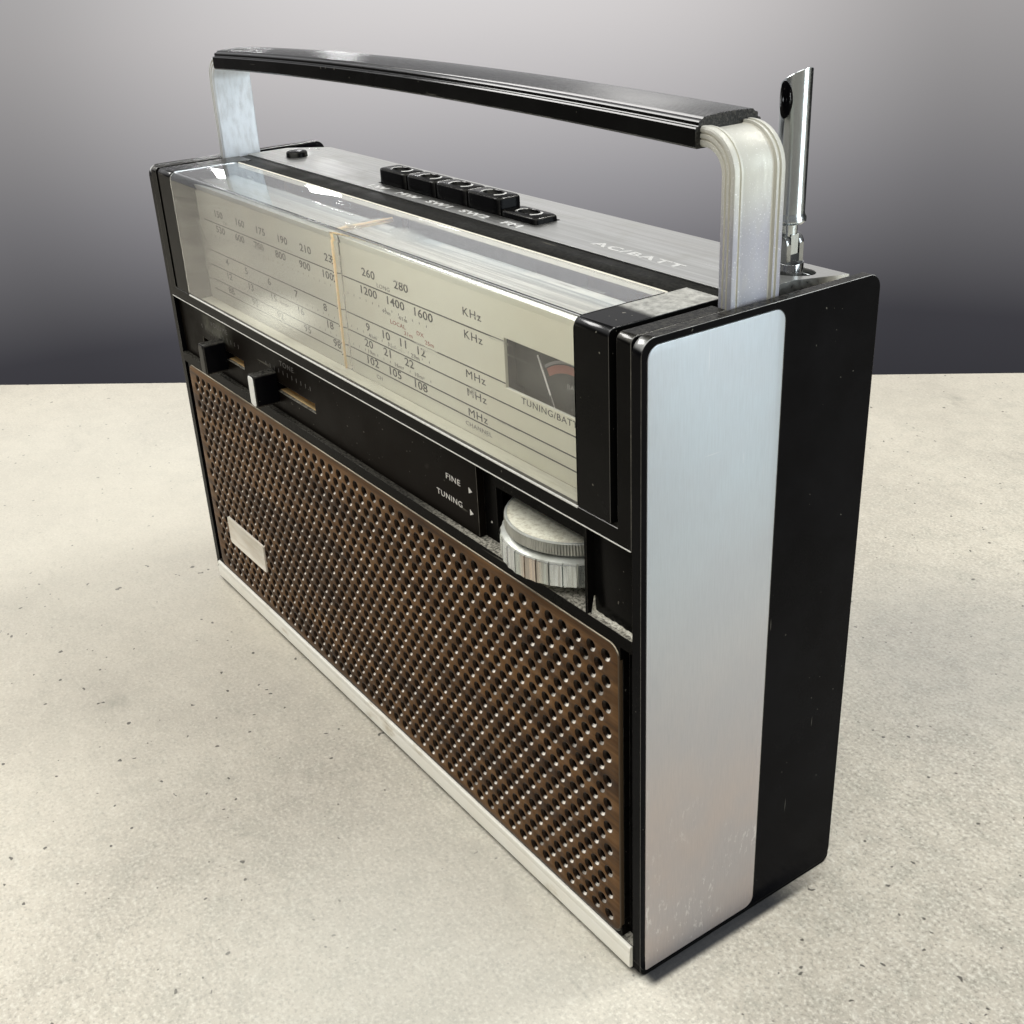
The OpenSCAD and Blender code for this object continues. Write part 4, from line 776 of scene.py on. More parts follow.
print_faint = ink("print_faint", (0.11, 0.105, 0.10), wear=0.6)
mesh = bmesh.new()
tick_pitch, tick_foot, tick_head = 3.6, 124.6, 126.2
for middle, text in ((-105, "VOLUME"), (-44, "TONE")):
    letters(mesh, text, at(middle, panel_d, 128.6), height=1.9, stretch=1.4, spacing=1.2)
    for i in range(-5, 6):
        x = middle + i * tick_pitch
        bar(mesh, (x - 0.15, panel_d - ink_lift, tick_foot), (x + 0.15, panel_d, tick_head))
piece("panel_print_faint", mesh, "cabinet", "dial_print", print_faint)
slider_amber = two_tone("slider_amber", (0.95, 0.72, 0.36), (0.80, 0.52, 0.22), rough=(0.4, 0.6),
                        speckle=dict(fineness=300, stretch=(0.1, 1, 1), detail=4), Specular_IOR_Level=0.4)
dress(slider_amber, "slide_pots", edge=0.2)
slot_foot, slot_ends = 116.8, ((-124.2, -84.2), (-64.0, -24.0))
lining_front, lining_back = panel_d + 1.2, 6.4
mesh = bmesh.new()
for start, end in slot_ends:
    bar(mesh, (start + 0.05, lining_front, slot_foot + 0.02), (end - 0.05, lining_back, slot_foot + 0.14))
    bar(mesh, (end - 0.2, lining_front, slot_foot + 0.2), (end - 0.05, lining_back, slot_foot + 3.4))
soften(mesh, 0.03, 1)
piece("slot_lining", mesh, "cabinet", "amber_board", slider_amber)

# End block: right of the wheels' window the band is closed by a black block. Dust has settled in the
# corner at its foot and beside the rib.
x0, x1, band_foot, block_d = 129.7, 146.4, 109.0, 2.2
mesh = bmesh.new()
bar(mesh, (x0, block_d, band_foot + 0.05), (x1, wall_d, 133.2))
soften(mesh, 0.3, 3)
piece("end_block", mesh, "cabinet", "black_gloss", frame_black)
dust_lint = two_tone("dust_lint", (0.74, 0.72, 0.62), (0.40, 0.38, 0.31), turn_over=(0.35, 0.65), rough=(0.8, 0.95),
                     speckle=dict(fineness=1500, detail=3), bump=(0.0002, 0.6), Specular_IOR_Level=0.1)
mesh = bmesh.new()
dust_steps = 24
loft(mesh, [[(x, block_d + 0.1, band_foot + 0.01), (x, block_d - w, band_foot + 0.01),
             (x, block_d - w * 0.4, band_foot + 0.2 * w), (x, block_d + 0.1, band_foot + 0.55 * w)]
            for x, w in ((x0 + (x1 - x0) * i / dust_steps, 1.0 + 0.25 * math.sin(i * 1.7) + 0.2 * math.sin(i * 0.6))
                         for i in range(dust_steps + 1))])
loft(mesh, [[(x0 + 0.01, block_d + 0.1, z), (x0 + 0.01, block_d - w, z), (x0 + 0.3 * w, block_d - 0.3 * w, z),
             (x0 + 0.8 * w, block_d + 0.1, z)]
            for z, w in ((band_foot + 0.1 + 4.5 * i / 8, 1.0 - 0.1 * i) for i in range(9))])
piece("block_dust", mesh, "cabinet", "dial_print", dust_lint, crease=50)

# Slider knobs: upright blades of glossy black plastic, pressed on the stems that come through the slots.
# Its front edge carries a strip: a white painted highlight on the tone knob, near-black painted shade on the volume
# knob.
knob_black = moulding("knob_black", (0.0018, 0.0018, 0.0026), shine=0.02, rough=0.18, dust=0.10, texture=0.00001,
                      marks=0.76, wear=0.15, edge_shine=0.25)
knob_rings = ((0.0, 0.0), (0.12, -0.22), (0.4, -0.4))
inlay_rings = ((0.55, 0.0), (0.62, -0.12), (0.8, -0.2), (1.3, -0.2))
knob_face_highlight = ink("knob_face_highlight", (0.90, 0.90, 0.86), wear=0.2)
knob_face_shade = ink("knob_face_shade", (0.020, 0.018, 0.015), wear=0.3)
for name, face_paint in (("volume_knob", knob_face_shade), ("tone_knob", knob_face_highlight)):
    x0, x1, d0, d1, z0, z1 = span_of(name)
    face_d, foot_d = d0 + 0.6, 1.5
    mesh = bmesh.new()
    blade = [(0.0, foot_d)] + [(inset, face_d + d) for inset, d in knob_rings] + [(0.5, face_d - 0.4)]
    strip = [(inset, face_d - 0.4 + d) for inset, d in inlay_rings]
    for index, rings in enumerate((blade, strip)):
        loft(mesh, [[(x, d, z) for x, z in oblong(x0 + inset, x1 - inset, z0 + inset, z1 - inset, 1.3)]
                    for inset, d in rings], index=index)
    middle, level = (x0 + x1) / 2, (z0 + z1) / 2
    bar(mesh, (middle - 1.5, foot_d, level - 1.4), (middle + 1.5, d1, level + 1.4))
    piece(name + "_blade", mesh, name, "black_gloss", knob_black, face_paint, replaced=(name,))

# Tuning wheels: a fluted main wheel of plated metal, and on the same spindle a thinner one for fine
# tuning with a knurled edge and a cream face. Their rims come out through the window.
wheel_x, wheel_d = 105.0, 17.0
flats, teeth = 36, 160
wheel_chrome, tree, shader = finish("wheel_chrome", Metallic=0.8)
# Painted reflection: broad pink-brown, green-grey and pale blue patches on the flats stand for the room they mirror.
reflection_hues = grain(tree, 75, (1, 1, 0.05), detail=2)
brush = grain(tree, 900, (1, 1, 0.06), detail=4)
body = tint(tree, ease(tree, reflection_hues, 0.40, 0.50), (0.60, 0.52, 0.45), (0.52, 0.57, 0.55))
body = tint(tree, ease(tree, reflection_hues, 0.52, 0.62), body, (0.66, 0.70, 0.72))
body = tint(tree, ease(tree, brush, 0.40, 0.65, 0.0, 0.6), body, (0.34, 0.33, 0.30))
wire(tree, shader, Base_Color=body, Roughness=ease(tree, brush, 0.3, 0.7, 0.18, 0.34))
relief(tree, shader, brush, 0.00002, 0.3)
wheel_white = two_tone("wheel_white", (0.66, 0.68, 0.63), (0.42, 0.43, 0.37), turn_over=(0.4, 0.75),
                       rough=(0.3, 0.45), speckle=dict(fineness=140, detail=5), bump=(0.00002, 0.3), skin=800,
                       Metallic=0.35, Specular_IOR_Level=0.5)
wheel_cream = two_tone("wheel_cream", (0.97, 0.96, 0.80), (0.68, 0.65, 0.50), turn_over=(0.40, 0.66),
                       rough=(0.45, 0.65), speckle=dict(fineness=700, detail=6, rough=0.75), bump=(0.00005, 0.4),
                       Specular_IOR_Level=0.4)


def turned(radius, z, count, shape):
    """A ring of a wheel; shape gives how far its rim stands off the radius at shares of one tooth."""
    points = []
    for tooth in range(count):
        for share, off in shape:
            angle, r = 2 * math.pi * (tooth + share) / count, radius + off
            points.append((wheel_x + r * math.cos(angle), wheel_d + r * math.sin(angle), z))
    return points


flat_shape = ((0.0, -0.7), (0.04, -0.7), (0.08, 0.0), (0.30, -0.22), (0.52, -0.28), (0.74, -0.22), (0.96, 0.0))
plain_shape = tuple((share, 0.0) for share, _ in flat_shape)
x0, x1, d0, d1, z0, z1 = span_of("tuning_wheel")
mesh = bmesh.new()
rim_r, hub_r, bore_r, rim_foot, rim_head = 21.9, 8, 3.15, 111.5, 120.0
worn_shape = [(share, off * 0.8) for share, off in flat_shape]
side_rings = ((14, rim_foot, plain_shape), (21.3, rim_foot, flat_shape), (rim_r, 111.9, flat_shape),
              (rim_r, 118.0, flat_shape), (21.75, 118.35, worn_shape))
top_rings = ((21.75, 118.35, worn_shape), (21.4, 118.75, plain_shape), (20.8, 119.0, plain_shape),
             (18.6, 119.9, plain_shape), (17.5, rim_head, plain_shape), (hub_r, rim_head, plain_shape),
             (hub_r, z1, plain_shape), (bore_r, z1, plain_shape))
foot_rings = ((14, rim_foot, plain_shape), (hub_r, rim_foot, plain_shape), (hub_r, z0, plain_shape),
              (bore_r, z0, plain_shape), (bore_r, z1, plain_shape))
for index, rings in ((0, side_rings), (1, top_rings), (0, foot_rings)):
    loft(mesh, [turned(r, z, flats, shape) for r, z, shape in rings], index=index, ends=(False, False))
bmesh.ops.remove_doubles(mesh, verts=mesh.verts, dist=1e-6)
piece("tuning_wheel_rim", mesh, "tuning_wheel", "trim_metal", wheel_chrome, wheel_white,
      replaced=("tuning_wheel",), crease=28)
tooth_shape = ((0.0, -0.26), (0.3, 0.0), (0.7, 0.0))
smooth_shape = tuple((share, 0.0) for share, _ in tooth_shape)
x0, x1, d0, d1, z0, z1 = span_of("fine_wheel")
fine_r, recess_r, recess, sunk = 20.5, 8.6, 0.85, 0.14
hub_foot, z0 = z0, z0 - recess
knurl_rings = ((bore_r, hub_foot, smooth_shape), (recess_r, hub_foot, smooth_shape), (recess_r, z0, smooth_shape),
               (fine_r - 0.5, z0, smooth_shape), (fine_r, z0 + 0.3, tooth_shape), (fine_r, z1 - 0.5, tooth_shape),
               (fine_r - 0.1, z1 - 0.3, smooth_shape))
edge_rings = [(r, z, smooth_shape) for r, z in ((fine_r - 0.1, z1 - 0.3), (fine_r - 0.25, z1 - 0.06),
                                                (fine_r - 0.5, z1), (fine_r - 0.8, z1))]
face_rings = [(r, z, smooth_shape) for r, z in ((fine_r - 0.8, z1), (fine_r - 1.0, z1 - 0.12), (10, z1 - sunk),
                                                (bore_r, z1 - sunk), (bore_r, hub_foot))]
mesh = bmesh.new()
for index, rings in enumerate((knurl_rings, edge_rings, face_rings)):
    loft(mesh, [turned(r, z, teeth, shape) for r, z, shape in rings], index=index, ends=(False, False))
bmesh.ops.remove_doubles(mesh, verts=mesh.verts, dist=1e-6)
knurl_grey = metal("knurl_grey", (0.42, 0.43, 0.41), rough=0.36, fineness=600, stretch=(1, 1, 0.2),
                   stain=(0.20, 0.20, 0.17), stained=0.6)
piece("fine_wheel_disc", mesh, "fine_wheel", "cream_plastic", knurl_grey, wheel_white, wheel_cream,
      replaced=("fine_wheel",), crease=28)
dress(rail_steel, "wheel_bracket", edge=0.2)

# Grille: a sheet of aluminium laid with walnut-grain film, punched in staggered rows and set on the
# front. The punch dishes the sheet at every hole; each dish is painted dark with a painted highlight on its lower
# side.
walnut_dark, walnut, walnut_light = (0.034, 0.015, 0.006), (0.105, 0.048, 0.015), (0.185, 0.094, 0.034)
grille_walnut, tree, shader = finish("grille_walnut", Specular_IOR_Level=0.12)
figure = grain(tree, 60, (0.22, 1, 2.6), detail=6, rough=0.65)
fibre = grain(tree, 520, (0.06, 1, 1.6), detail=3)
veneer = tint(tree, ease(tree, figure, 0.34, 0.66), walnut_dark, walnut_light)
veneer = tint(tree, ease(tree, fibre, 0.35, 0.75, 0.0, 0.6), veneer, walnut)
wire(tree, shader, Base_Color=veneer, Roughness=ease(tree, fibre, 0.3, 0.7, 0.38, 0.52))
relief(tree, shader, fibre, 0.00004, 0.4)
punched, tree, shader = finish("grille_punched", Specular_IOR_Level=0.12)
parts = add(tree, "ShaderNodeSeparateXYZ", Vector=add(tree, "ShaderNodeTexCoord").outputs["Normal"]).outputs
# Painted light on each dish's lip: near-black painted shade, with a pale painted highlight where its normal faces up
# and left.
low_side = sums(tree, "SUBTRACT", parts["Z"], times(tree, parts["X"], 0.8))
painted_glint = times(tree, ease(tree, low_side, 0.42, 0.80), ease(tree, grain(tree, 130, detail=3), 0.38, 0.58, 0.35, 1.0))
burr = grain(tree, 1500, detail=3)
wire(tree, shader, Base_Color=tint(tree, painted_glint, (0.014, 0.007, 0.003), (0.98, 0.92, 0.82)),
     Roughness=ease(tree, burr, 0.3, 0.7, 0.2, 0.4))
relief(tree, shader, burr, 0.00003, 0.3)
# Painted shade: the bore of each hole is near black.
hole_dark = two_tone("grille_hole", (0.004, 0.003, 0.002), (0.012, 0.008, 0.005), rough=(0.6, 0.9),
                     speckle=dict(fineness=700, detail=3), bump=(0.00002, 0.3), Specular_IOR_Level=0.1)
sheet_edge, tree, shader = finish("grille_edge", Specular_IOR_Level=0.3)
burr = grain(tree, 700, (0.1, 1, 1), detail=4)
# Painted highlight: the upward rounding of the sheet's border turns pale in broken patches.
rim_highlight = times(tree, upward(tree, 0.25, 0.6), ease(tree, burr, 0.3, 0.6, 0.5, 1.0))
wire(tree, shader, Base_Color=tint(tree, rim_highlight, (0.075, 0.050, 0.028), (0.80, 0.72, 0.55)),
     Roughness=ease(tree, burr, 0.3, 0.7, 0.3, 0.5))
relief(tree, shader, burr, 0.00002, 0.3)
x0, x1, d0, d1, z0, z1 = span_of("grille")
pitch_x, pitch_z, columns, rows = 5.99, 3.97, 46, 23
first_x, first_z = 136.8, 100.3
hole_rings = ((1.86, d0), (1.74, d0 + 0.08), (1.52, d0 + 0.28), (1.28, d0 + 0.48), (1.10, d0 + 0.60),
              (1.02, d0 + 0.75), (1.02, d1 - 0.05))
lip_rings = 4
cell = [(a, b) for a in range(-3, 4) for b in range(-2, 3) if abs(a) == 3 or abs(b) == 2]
cell.sort(key=lambda p: math.atan2(p[1] / 4 * pitch_z, p[0] / 6 * pitch_x))
hole_turns = [math.atan2(b / 4 * pitch_z, a / 6 * pitch_x) for a, b in cell]
mesh = bmesh.new()
shared = {}


def sheet_point(across, down):
    """A point of the sheet, in sixths of a pitch to the left and quarters of a row down from the first hole."""
    if (across, down) not in shared:
        shared[across, down] = mesh.verts.new(at(first_x - across * pitch_x / 6, d0, first_z - down * pitch_z / 4))
    return shared[across, down]


for row in range(rows):
    for column in range(columns):
        across, down = 6 * column + 3 * (row % 2), 4 * row
        x, z = first_x - across * pitch_x / 6, first_z - down * pitch_z / 4
        rings = [[sheet_point(across - a, down - b) for a, b in cell]]
        rings += [[mesh.verts.new(at(x + r * math.cos(t), d, z + r * math.sin(t))) for t in hole_turns]
                  for r, d in hole_rings]
        for ring, (a, b) in enumerate(zip(rings, rings[1:])):
            for i in range(len(cell)):
                j = (i + 1) % len(cell)
                layer = 0 if ring == 0 else 1 if ring <= lip_rings else 2
                mesh.faces.new((a[i], a[j], b[j], b[i])).material_index = layer
    start = 6 * columns - 3 if row % 2 == 0 else -3
    loop = [(0, -2), (1, -2), (2, -2), (3, -2), (3, -1), (3, 0), (3, 1), (3, 2), (2, 2), (1, 2), (0, 2), (0, 1),
            (0, 0), (0, -1)]
    mesh.faces.new([sheet_point(start + a, 4 * row + b) for a, b in loop])
border = [e for e in mesh.edges if e.is_boundary and all(abs(v.co.y - at(0, d0, 0).y) < 1e-7 for v in e.verts)]
sheet_points = set(shared.values())
outer = [edge for edge in border if all(v in sheet_points for v in edge.verts)]
rounding = ((0.45, d0), (0.13, d0 + 0.13), (0.0, d0 + 0.45), (0.0, d1))
rim = loft(mesh, [[(x, d, z) for x, z in oblong(x0 + inset, x1 - inset, z0 + inset, z1 - inset, 4 - inset, 8)]
                  for inset, d in rounding], index=3, ends=(False, False))
rim_edges = [mesh.edges.get((rim[0][i], rim[0][(i + 1) % len(rim[0])])) for i in range(len(rim[0]))]
bmesh.ops.triangle_fill(mesh, edges=outer + rim_edges, use_beauty=True, use_dissolve=False, normal=(0, -1, 0))
piece("grille_sheet", mesh, "cabinet", "wood_clad", grille_walnut, punched, hole_dark, sheet_edge,
      replaced=("grille",), crease=45)

# Nameplate and bottom strip: a small bare plate of satin aluminium riveted to the grille, and a drawn
# strip of the same metal, lacquered pale, along the foot of the front.
plate_satin = two_tone("plate_satin", (0.93, 0.89, 0.80), (0.80, 0.74, 0.63), turn_over=(0.35, 0.7),
                       rough=(0.3, 0.45), speckle=dict(fineness=320, stretch=(0.2, 1, 1), detail=5), Metallic=0.35)
x0, x1, d0, d1, z0, z1 = span_of("nameplate")
mesh = bmesh.new()
loft(mesh, [[(x, d, z) for x, z in oblong(x0 + inset, x1 - inset, z0 + inset, z1 - inset, 1.0)]
            for inset, d in ((0, d1), (0, d0 + 0.2), (0.12, d0 + 0.05), (0.3, d0), (0.8, d0), (1.0, d0 + 0.16))])
piece("name_plate_bare", mesh, "cabinet", "trim_metal", plate_satin, replaced=("nameplate",))
strip_pale, tree, shader = finish("strip_pale", Specular_IOR_Level=0.5)
clouds = grain(tree, 40, detail=5)
stains = ease(tree, grain(tree, 90, (0.4, 1, 1), detail=6), 0.58, 0.72)
body = tint(tree, ease(tree, clouds, 0.35, 0.7), (0.98, 0.97, 0.88), (0.94, 0.91, 0.80))
body = tint(tree, times(tree, stains, 0.6), body, (0.42, 0.33, 0.16))
wire(tree, shader, Base_Color=body, Roughness=ease(tree, clouds, 0.3, 0.7, 0.3, 0.45))
relief(tree, shader, grain(tree, 500, (0.05, 1, 1)), 0.00002, 0.3)
x0, x1, d0, d1, z0, z1 = span_of("bottom_trim")
strip_profile = ((d1, z0), (d0 + 0.3, z0), (d0, z0 + 0.3), (d0, z0 + 4.6), (d0 + 0.08, z0 + 4.9),
                 (d0 + 0.16, z0 + 5.1), (d0 + 0.16, z0 + 5.4), (d0 + 0.02, z0 + 5.7), (d0, z0 + 6.0),
                 (d0 + 0.12, z1 - 0.4), (d0 + 0.5, z1), (d1, z1))
mesh = bmesh.new()
loft(mesh, [[(x, d, z) for d, z in strip_profile] for x in (x0, x1)])
piece("bottom_strip", mesh, "cabinet", "trim_metal", strip_pale, replaced=("bottom_trim",), crease=25)

# Foot rails: a black rubber strip pressed on the lower edge of each end panel, so that the case stands
# clear of the table. The corners follow the panel's.
rubber_black = moulding("rubber_black", (0.0030, 0.0029, 0.0030), shine=0.03, rough=0.4, dust=0.1, texture=0.00003,
                        wear=0.1, edge_shine=0.3)
mesh = bmesh.new()
rail_in, rail_out = 146.95, 149.93
for x_in, x_out in ((rail_in, rail_out), (-rail_out, -rail_in)):
    loft(mesh, [[(x, d, z) for d, z in oblong(0.1 + inset, 76.9 - inset, -rail_height * 1000 + inset, 6.0, 2.6, 6)]
                for x, inset in ((x_in, 0.2), (x_in + 0.2, 0.0), (x_out - 0.2, 0.0), (x_out, 0.2))])
piece("foot_rails", mesh, "cabinet", "black_satin", rubber_black)

# Deck: a folded plate of brushed aluminium over the rear half, with a black strip before it. Band names
# stand before the buttons and the supply's name beside them, in worn white print.
deck_brushed = metal("deck_brushed", (0.62, 0.62, 0.59), rough=0.34, fineness=900, stretch=(0.02, 1, 1),
                     stain=(0.50, 0.49, 0.44), stained=0.5, bite=0.00003)
dress(deck_brushed, "deck_panel", edge=0.3)
strip_black = moulding("strip_black", (0.006, 0.0062, 0.0058), shine=0.02, rough=0.42, dust=0.04, texture=0.00004)
strip_half, strip_end, strip_front, strip_step, strip_back = 126.2, 138.8, 29.2, 34.8, 38.75
strip_outline = ((-strip_half, strip_front), (strip_half, strip_front), (strip_half, strip_step),
                 (strip_end, strip_step), (strip_end, strip_back), (-strip_end, strip_back), (-strip_end, strip_step),
                 (-strip_half, strip_step))
mesh = bmesh.new()
loft(mesh, [[(x, d, z) for x, d in strip_outline] for z in (183.0, 185.75)])
soften(mesh, 0.15)
piece("deck_strip_flush", mesh, "cabinet", "black_satin", strip_black, replaced=("deck_strip",))
bead_cream = ink("bead_cream", (0.86, 0.83, 0.71), wear=0.25)
mesh = bmesh.new()
bar(mesh, (-strip_half, 28.4, 183.2), (strip_half, 29.1, 185.95))
soften(mesh, 0.3, 3)
piece("cover_bead", mesh, "cabinet", "cream_plastic", bead_cream)
deck_top = span_of("deck_panel")[5]
back_way = (0, 1, 0)
mesh = bmesh.new()
letters(mesh, "AC/BATT", at(95, 45.7, deck_top), height=2.9, stretch=1.85, spacing=1.15, bold=0.025, upright=back_way,
        out=up_way)
for i, text in enumerate(("LW", "MW", "SW1", "SW2", "FM")):
    letters(mesh, text, at(-38.5 + 20.1 * i, 42.4, deck_top), height=2.6, stretch=1.9, spacing=1.1, bold=0.03,
            upright=back_way, out=up_way)
piece("deck_print", mesh, "cabinet", "dial_print", ink("deck_white", (0.96, 0.96, 0.93), wear=0.1))

# Band buttons: five black caps in a row that latch, so the one in use stays down. The top of each has
# a round dish for the fingertip.
button_black = moulding("button_black", (0.0024, 0.0024, 0.0028), shine=0.03, rough=0.16, dust=0.02, texture=0.000008,
                        marks=0.76, wear=0.2)
dish_highlight = two_tone("dish_highlight", (0.98, 0.97, 0.93), (0.80, 0.79, 0.74), turn_over=(0.35, 0.65), rough=(0.1, 0.2),
                     speckle=dict(fineness=300, detail=3), bump=(0.00001, 0.2), Specular_IOR_Level=0.8)
cap_steps = 64
cap_turns = [2 * math.pi * i / cap_steps for i in range(cap_steps)]


def cap_outline(half_x, half_d, power=9):
    """A rectangle with soft corners about the middle of a cap, in even turns."""
    points = []
    for t in cap_turns:
        r = (abs(math.cos(t) / half_x) ** power + abs(math.sin(t) / half_d) ** power) ** (-1 / power)
        points.append((r * math.cos(t), r * math.sin(t)))
    return points


dish_x, dish_d, dish_highlight_cos = 4.7, 2.9, 0.74
dish_rings = ((0.65, 0.0), (0.40, -0.12), (0.10, -0.16), (-0.15, 0.0), (-0.40, 0.9), (-0.9, 1.6), (-2.2, 2.0))
for i in range(1, 6):
    name = f"band_button_{i}"
    x0, x1, d0, d1, z0, z1 = span_of(name)
    middle_x, middle_d, half_x, half_d = (x0 + x1) / 2, (d0 + d1) / 2, (x1 - x0) / 2, (d1 - d0) / 2
    foot = z1 - 11
    cap = [[(middle_x + x, middle_d + d, z) for x, d in cap_outline(half_x - inset, half_d - inset)]
           for inset, z in ((0, foot), (0, z1 - 0.7), (0.2, z1 - 0.25), (0.6, z1))]
    dish = [[(middle_x + (dish_x + r) * math.cos(t), middle_d + (dish_d + r) * math.sin(t), z1 - drop)
             for t in cap_turns] for r, drop in dish_rings]
    mesh = bmesh.new()
    loft(mesh, cap + dish[:1], index=0, ends=(True, False))
    bowl = loft(mesh, dish, index=0, ends=(False, True))
    # Painted highlight: the dish's ring faces near its left and right ends take the pale finish.
    for low, high in zip(bowl[:3], bowl[1:4]):
        for j in range(cap_steps):
            k = (j + 1) % cap_steps
            if abs(math.cos(2 * math.pi * (j + 0.5) / cap_steps)) > dish_highlight_cos:
                mesh.faces.get((low[j], low[k], high[k], high[j])).material_index = 1
    bmesh.ops.remove_doubles(mesh, verts=mesh.verts, dist=1e-7)
    bar(mesh, (middle_x - 2.5, middle_d - 2.5, z0), (middle_x + 2.5, middle_d + 2.5, foot))
    piece(name + "_cap", mesh, name, "black_gloss", button_black, dish_highlight, replaced=(name,))

# Light button: a small round push button that lights the dial, domed and glossy.
x0, x1, d0, d1, z0, z1 = span_of("light_button")
light_x, light_d, light_r = (x0 + x1) / 2, (d0 + d1) / 2, (x1 - x0) / 2
mesh = bmesh.new()
light_turns = [2 * math.pi * i / 48 for i in range(48)]
loft(mesh, [[(light_x + r * math.cos(t), light_d + r * math.sin(t), z) for t in light_turns]
            for r, z in ((1.4, z0), (1.4, z1 - 5.2), (light_r, z1 - 5.2), (light_r, z1 - 0.8),
                         (light_r - 0.25, z1 - 0.35), (light_r - 0.8, z1 - 0.12), (light_r - 2.0, z1 - 0.03),
                         (0.6, z1))])
piece("light_button_cap", mesh, "light_button", "black_gloss", button_black, replaced=("light_button",))

# Antenna: a chromed brass whip that slides into itself. A forked swivel in a cup at the deck's corner
# lets it turn and lean.
antenna_chrome = metal("antenna_chrome", (0.60, 0.64, 0.65), rough=0.17, fineness=700, stretch=(1, 1, 0.05),
                       stained=0.15, bite=0.000004)
dress(antenna_chrome, "antenna_cup", "antenna_tube_2", "antenna_tube_3", "antenna_tip", edge=0.12)
swivel_dark = metal("swivel_dark", (0.36, 0.37, 0.37), rough=0.14, fineness=700, stain=(0.06, 0.06, 0.06),
                    stained=0.7, bite=0.00001)
dress(swivel_dark, "antenna_swivel", edge=0.7, steps=3)
x0, x1, d0, d1, z0, z1 = span_of("antenna_tube_1")
whip_x, whip_d, whip_r, whip_foot = (x0 + x1) / 2, (d0 + d1) / 2, 3.75, z1 - 34
mouth_turn, mouth_fall, bore = math.radians(5.6), 0.56, 3.1


def whip_ring(r, height, slant=0.0, count=48):
    """A ring round the antenna; slant lets it fall away from the right."""
    angles = [2 * math.pi * i / count for i in range(count)]
    return [(whip_x + r * math.cos(t), whip_d + r * math.sin(t),
             height - slant * whip_r * (1 - r / whip_r * math.cos(t - mouth_turn))) for t in angles]


mesh = bmesh.new()
ferrule = ((2.2, -5.5), (2.2, -2.6), (3.6, -2.4), (4.2, -1.8), (4.2, -0.8), (3.8, -0.2), (whip_r, 0.1))
mouth = ((whip_r, 0.25), (whip_r - 0.15, 0.05), (bore + 0.1, 0.05), (bore, 0.3))
loft(mesh, [whip_ring(r, whip_foot + rise) for r, rise in ferrule]
     + [whip_ring(r, z1 - fall, mouth_fall) for r, fall in mouth] + [whip_ring(bore, whip_foot + 0.2)])
bar(mesh, (whip_x - 2.3, whip_d - 1.3, z0), (whip_x + 2.3, whip_d + 1.3, whip_foot - 5))
piece("antenna_tube_1_whip", mesh, "antenna_tube_1", "chrome", antenna_chrome, replaced=("antenna_tube_1",), crease=40)
notch_turn, notch_half, notch_low, notch_high = math.radians(-90), math.radians(33), z1 - 11.4, z1 - 2.9
notch_middle, notch_reach = (notch_low + notch_high) / 2, (notch_high - notch_low) / 2
notch_turns = [t * math.pi / 16 for t in range(32)]


def notch_ring(mesh, r, share):
    """An oval on the antenna's skin, at radius r; share is 1 at the notch's rim and less inside it."""
    ring = []
    for t in notch_turns:
        turn = notch_turn + share * notch_half * math.cos(t)
        ring.append(mesh.verts.new(at(whip_x + r * math.cos(turn), whip_d + r * math.sin(turn),
                                      notch_middle + share * notch_reach * math.sin(t))))
    return ring


# Painted shade: the thumb notch is a shallow black oval on the tube's skin, standing for the dark inside of the notch.
mesh = bmesh.new()
notch_rims = []
for r in (whip_r - 0.2, whip_r + 0.03):
    middle = mesh.verts.new(at(whip_x + r * math.cos(notch_turn), whip_d + r * math.sin(notch_turn), notch_middle))
    ring, inner_ring = notch_ring(mesh, r, 1.0), notch_ring(mesh, r, 0.5)
    for t in range(32):
        mesh.faces.new((ring[t], ring[t - 31], inner_ring[t - 31], inner_ring[t]))
        mesh.faces.new((inner_ring[t], inner_ring[t - 31], middle))
    notch_rims.append(ring)
low_ring, high_ring = notch_rims
for t in range(32):
    mesh.faces.new((low_ring[t], low_ring[t - 31], high_ring[t - 31], high_ring[t]))
piece("antenna_thumb_notch", mesh, "antenna_tube_1", "black_gloss", gloss_black)

# Handle: two arms of drawn aluminium with ribbed edges, bent inwards at the top, carry a black grip
# with fine ribs. They turn on pivots in the slots beside the end panels.
arm_satin, tree, shader = finish("arm_satin", Metallic=0.3, Specular_IOR_Level=0.4)
fibre = grain(tree, 600, (1, 1, 0.3), detail=4)
clouds = grain(tree, 60, detail=4)
body = tint(tree, ease(tree, clouds, 0.35, 0.7), (0.42, 0.43, 0.47), (0.36, 0.36, 0.42))
# Paler above 198 mm; painted light makes the left arm much paler and bluer, and the fine pale specks are painted
# glints.
body = tint(tree, ease(tree, coordinate(tree, "Z"), 0.198, 0.216), body, (0.60, 0.60, 0.54))
body = tint(tree, ease(tree, coordinate(tree, "X"), -0.05, -0.12), body, (0.78, 0.82, 0.86))
body = tint(tree, times(tree, ease(tree, fibre, 0.4, 0.75), 0.3), body, (0.50, 0.49, 0.47))
glints = ease(tree, grain(tree, 2600, detail=1), 0.66, 0.72, 0.0, 0.6)
body = tint(tree, glints, body, (0.92, 0.92, 0.92))
wire(tree, shader, Base_Color=body, Roughness=ease(tree, fibre, 0.3, 0.7, 0.46, 0.60))
relief(tree, shader, fibre, 0.00003, 0.3)
arm_groove = two_tone("arm_groove", (0.54, 0.53, 0.46), (0.66, 0.65, 0.57), rough=(0.45, 0.65),
                      speckle=dict(fineness=240, stretch=(1, 1, 0.2), detail=5), bump=(0.00003, 0.3), Metallic=0.2,
                      Specular_IOR_Level=0.3)
x0, x1, d0, d1, z0, z1 = span_of("handle_arm_right")
arm_t, bend_r = 4.4, 10.0
rib = ((0.0, 0.55), (0.25, 0.14), (0.7, 0.0), (1.55, 0.0), (1.7, 0.42), (2.1, 0.42), (2.25, 0.12), (2.85, 0.12),
       (3.0, 0.75), (3.4, 0.95))
groove_sides = (3, 4, 5, 7, 8)
section = [(d0 + a, b) for a, b in rib] + [(d1 - a, b) for a, b in reversed(rib)]
lines = ((1.15, 0.0), (1.3, 0.3), (1.55, 0.3), (1.7, 0.0), (2.45, 0.0), (2.6, 0.3), (2.85, 0.3), (3.0, 0.0))
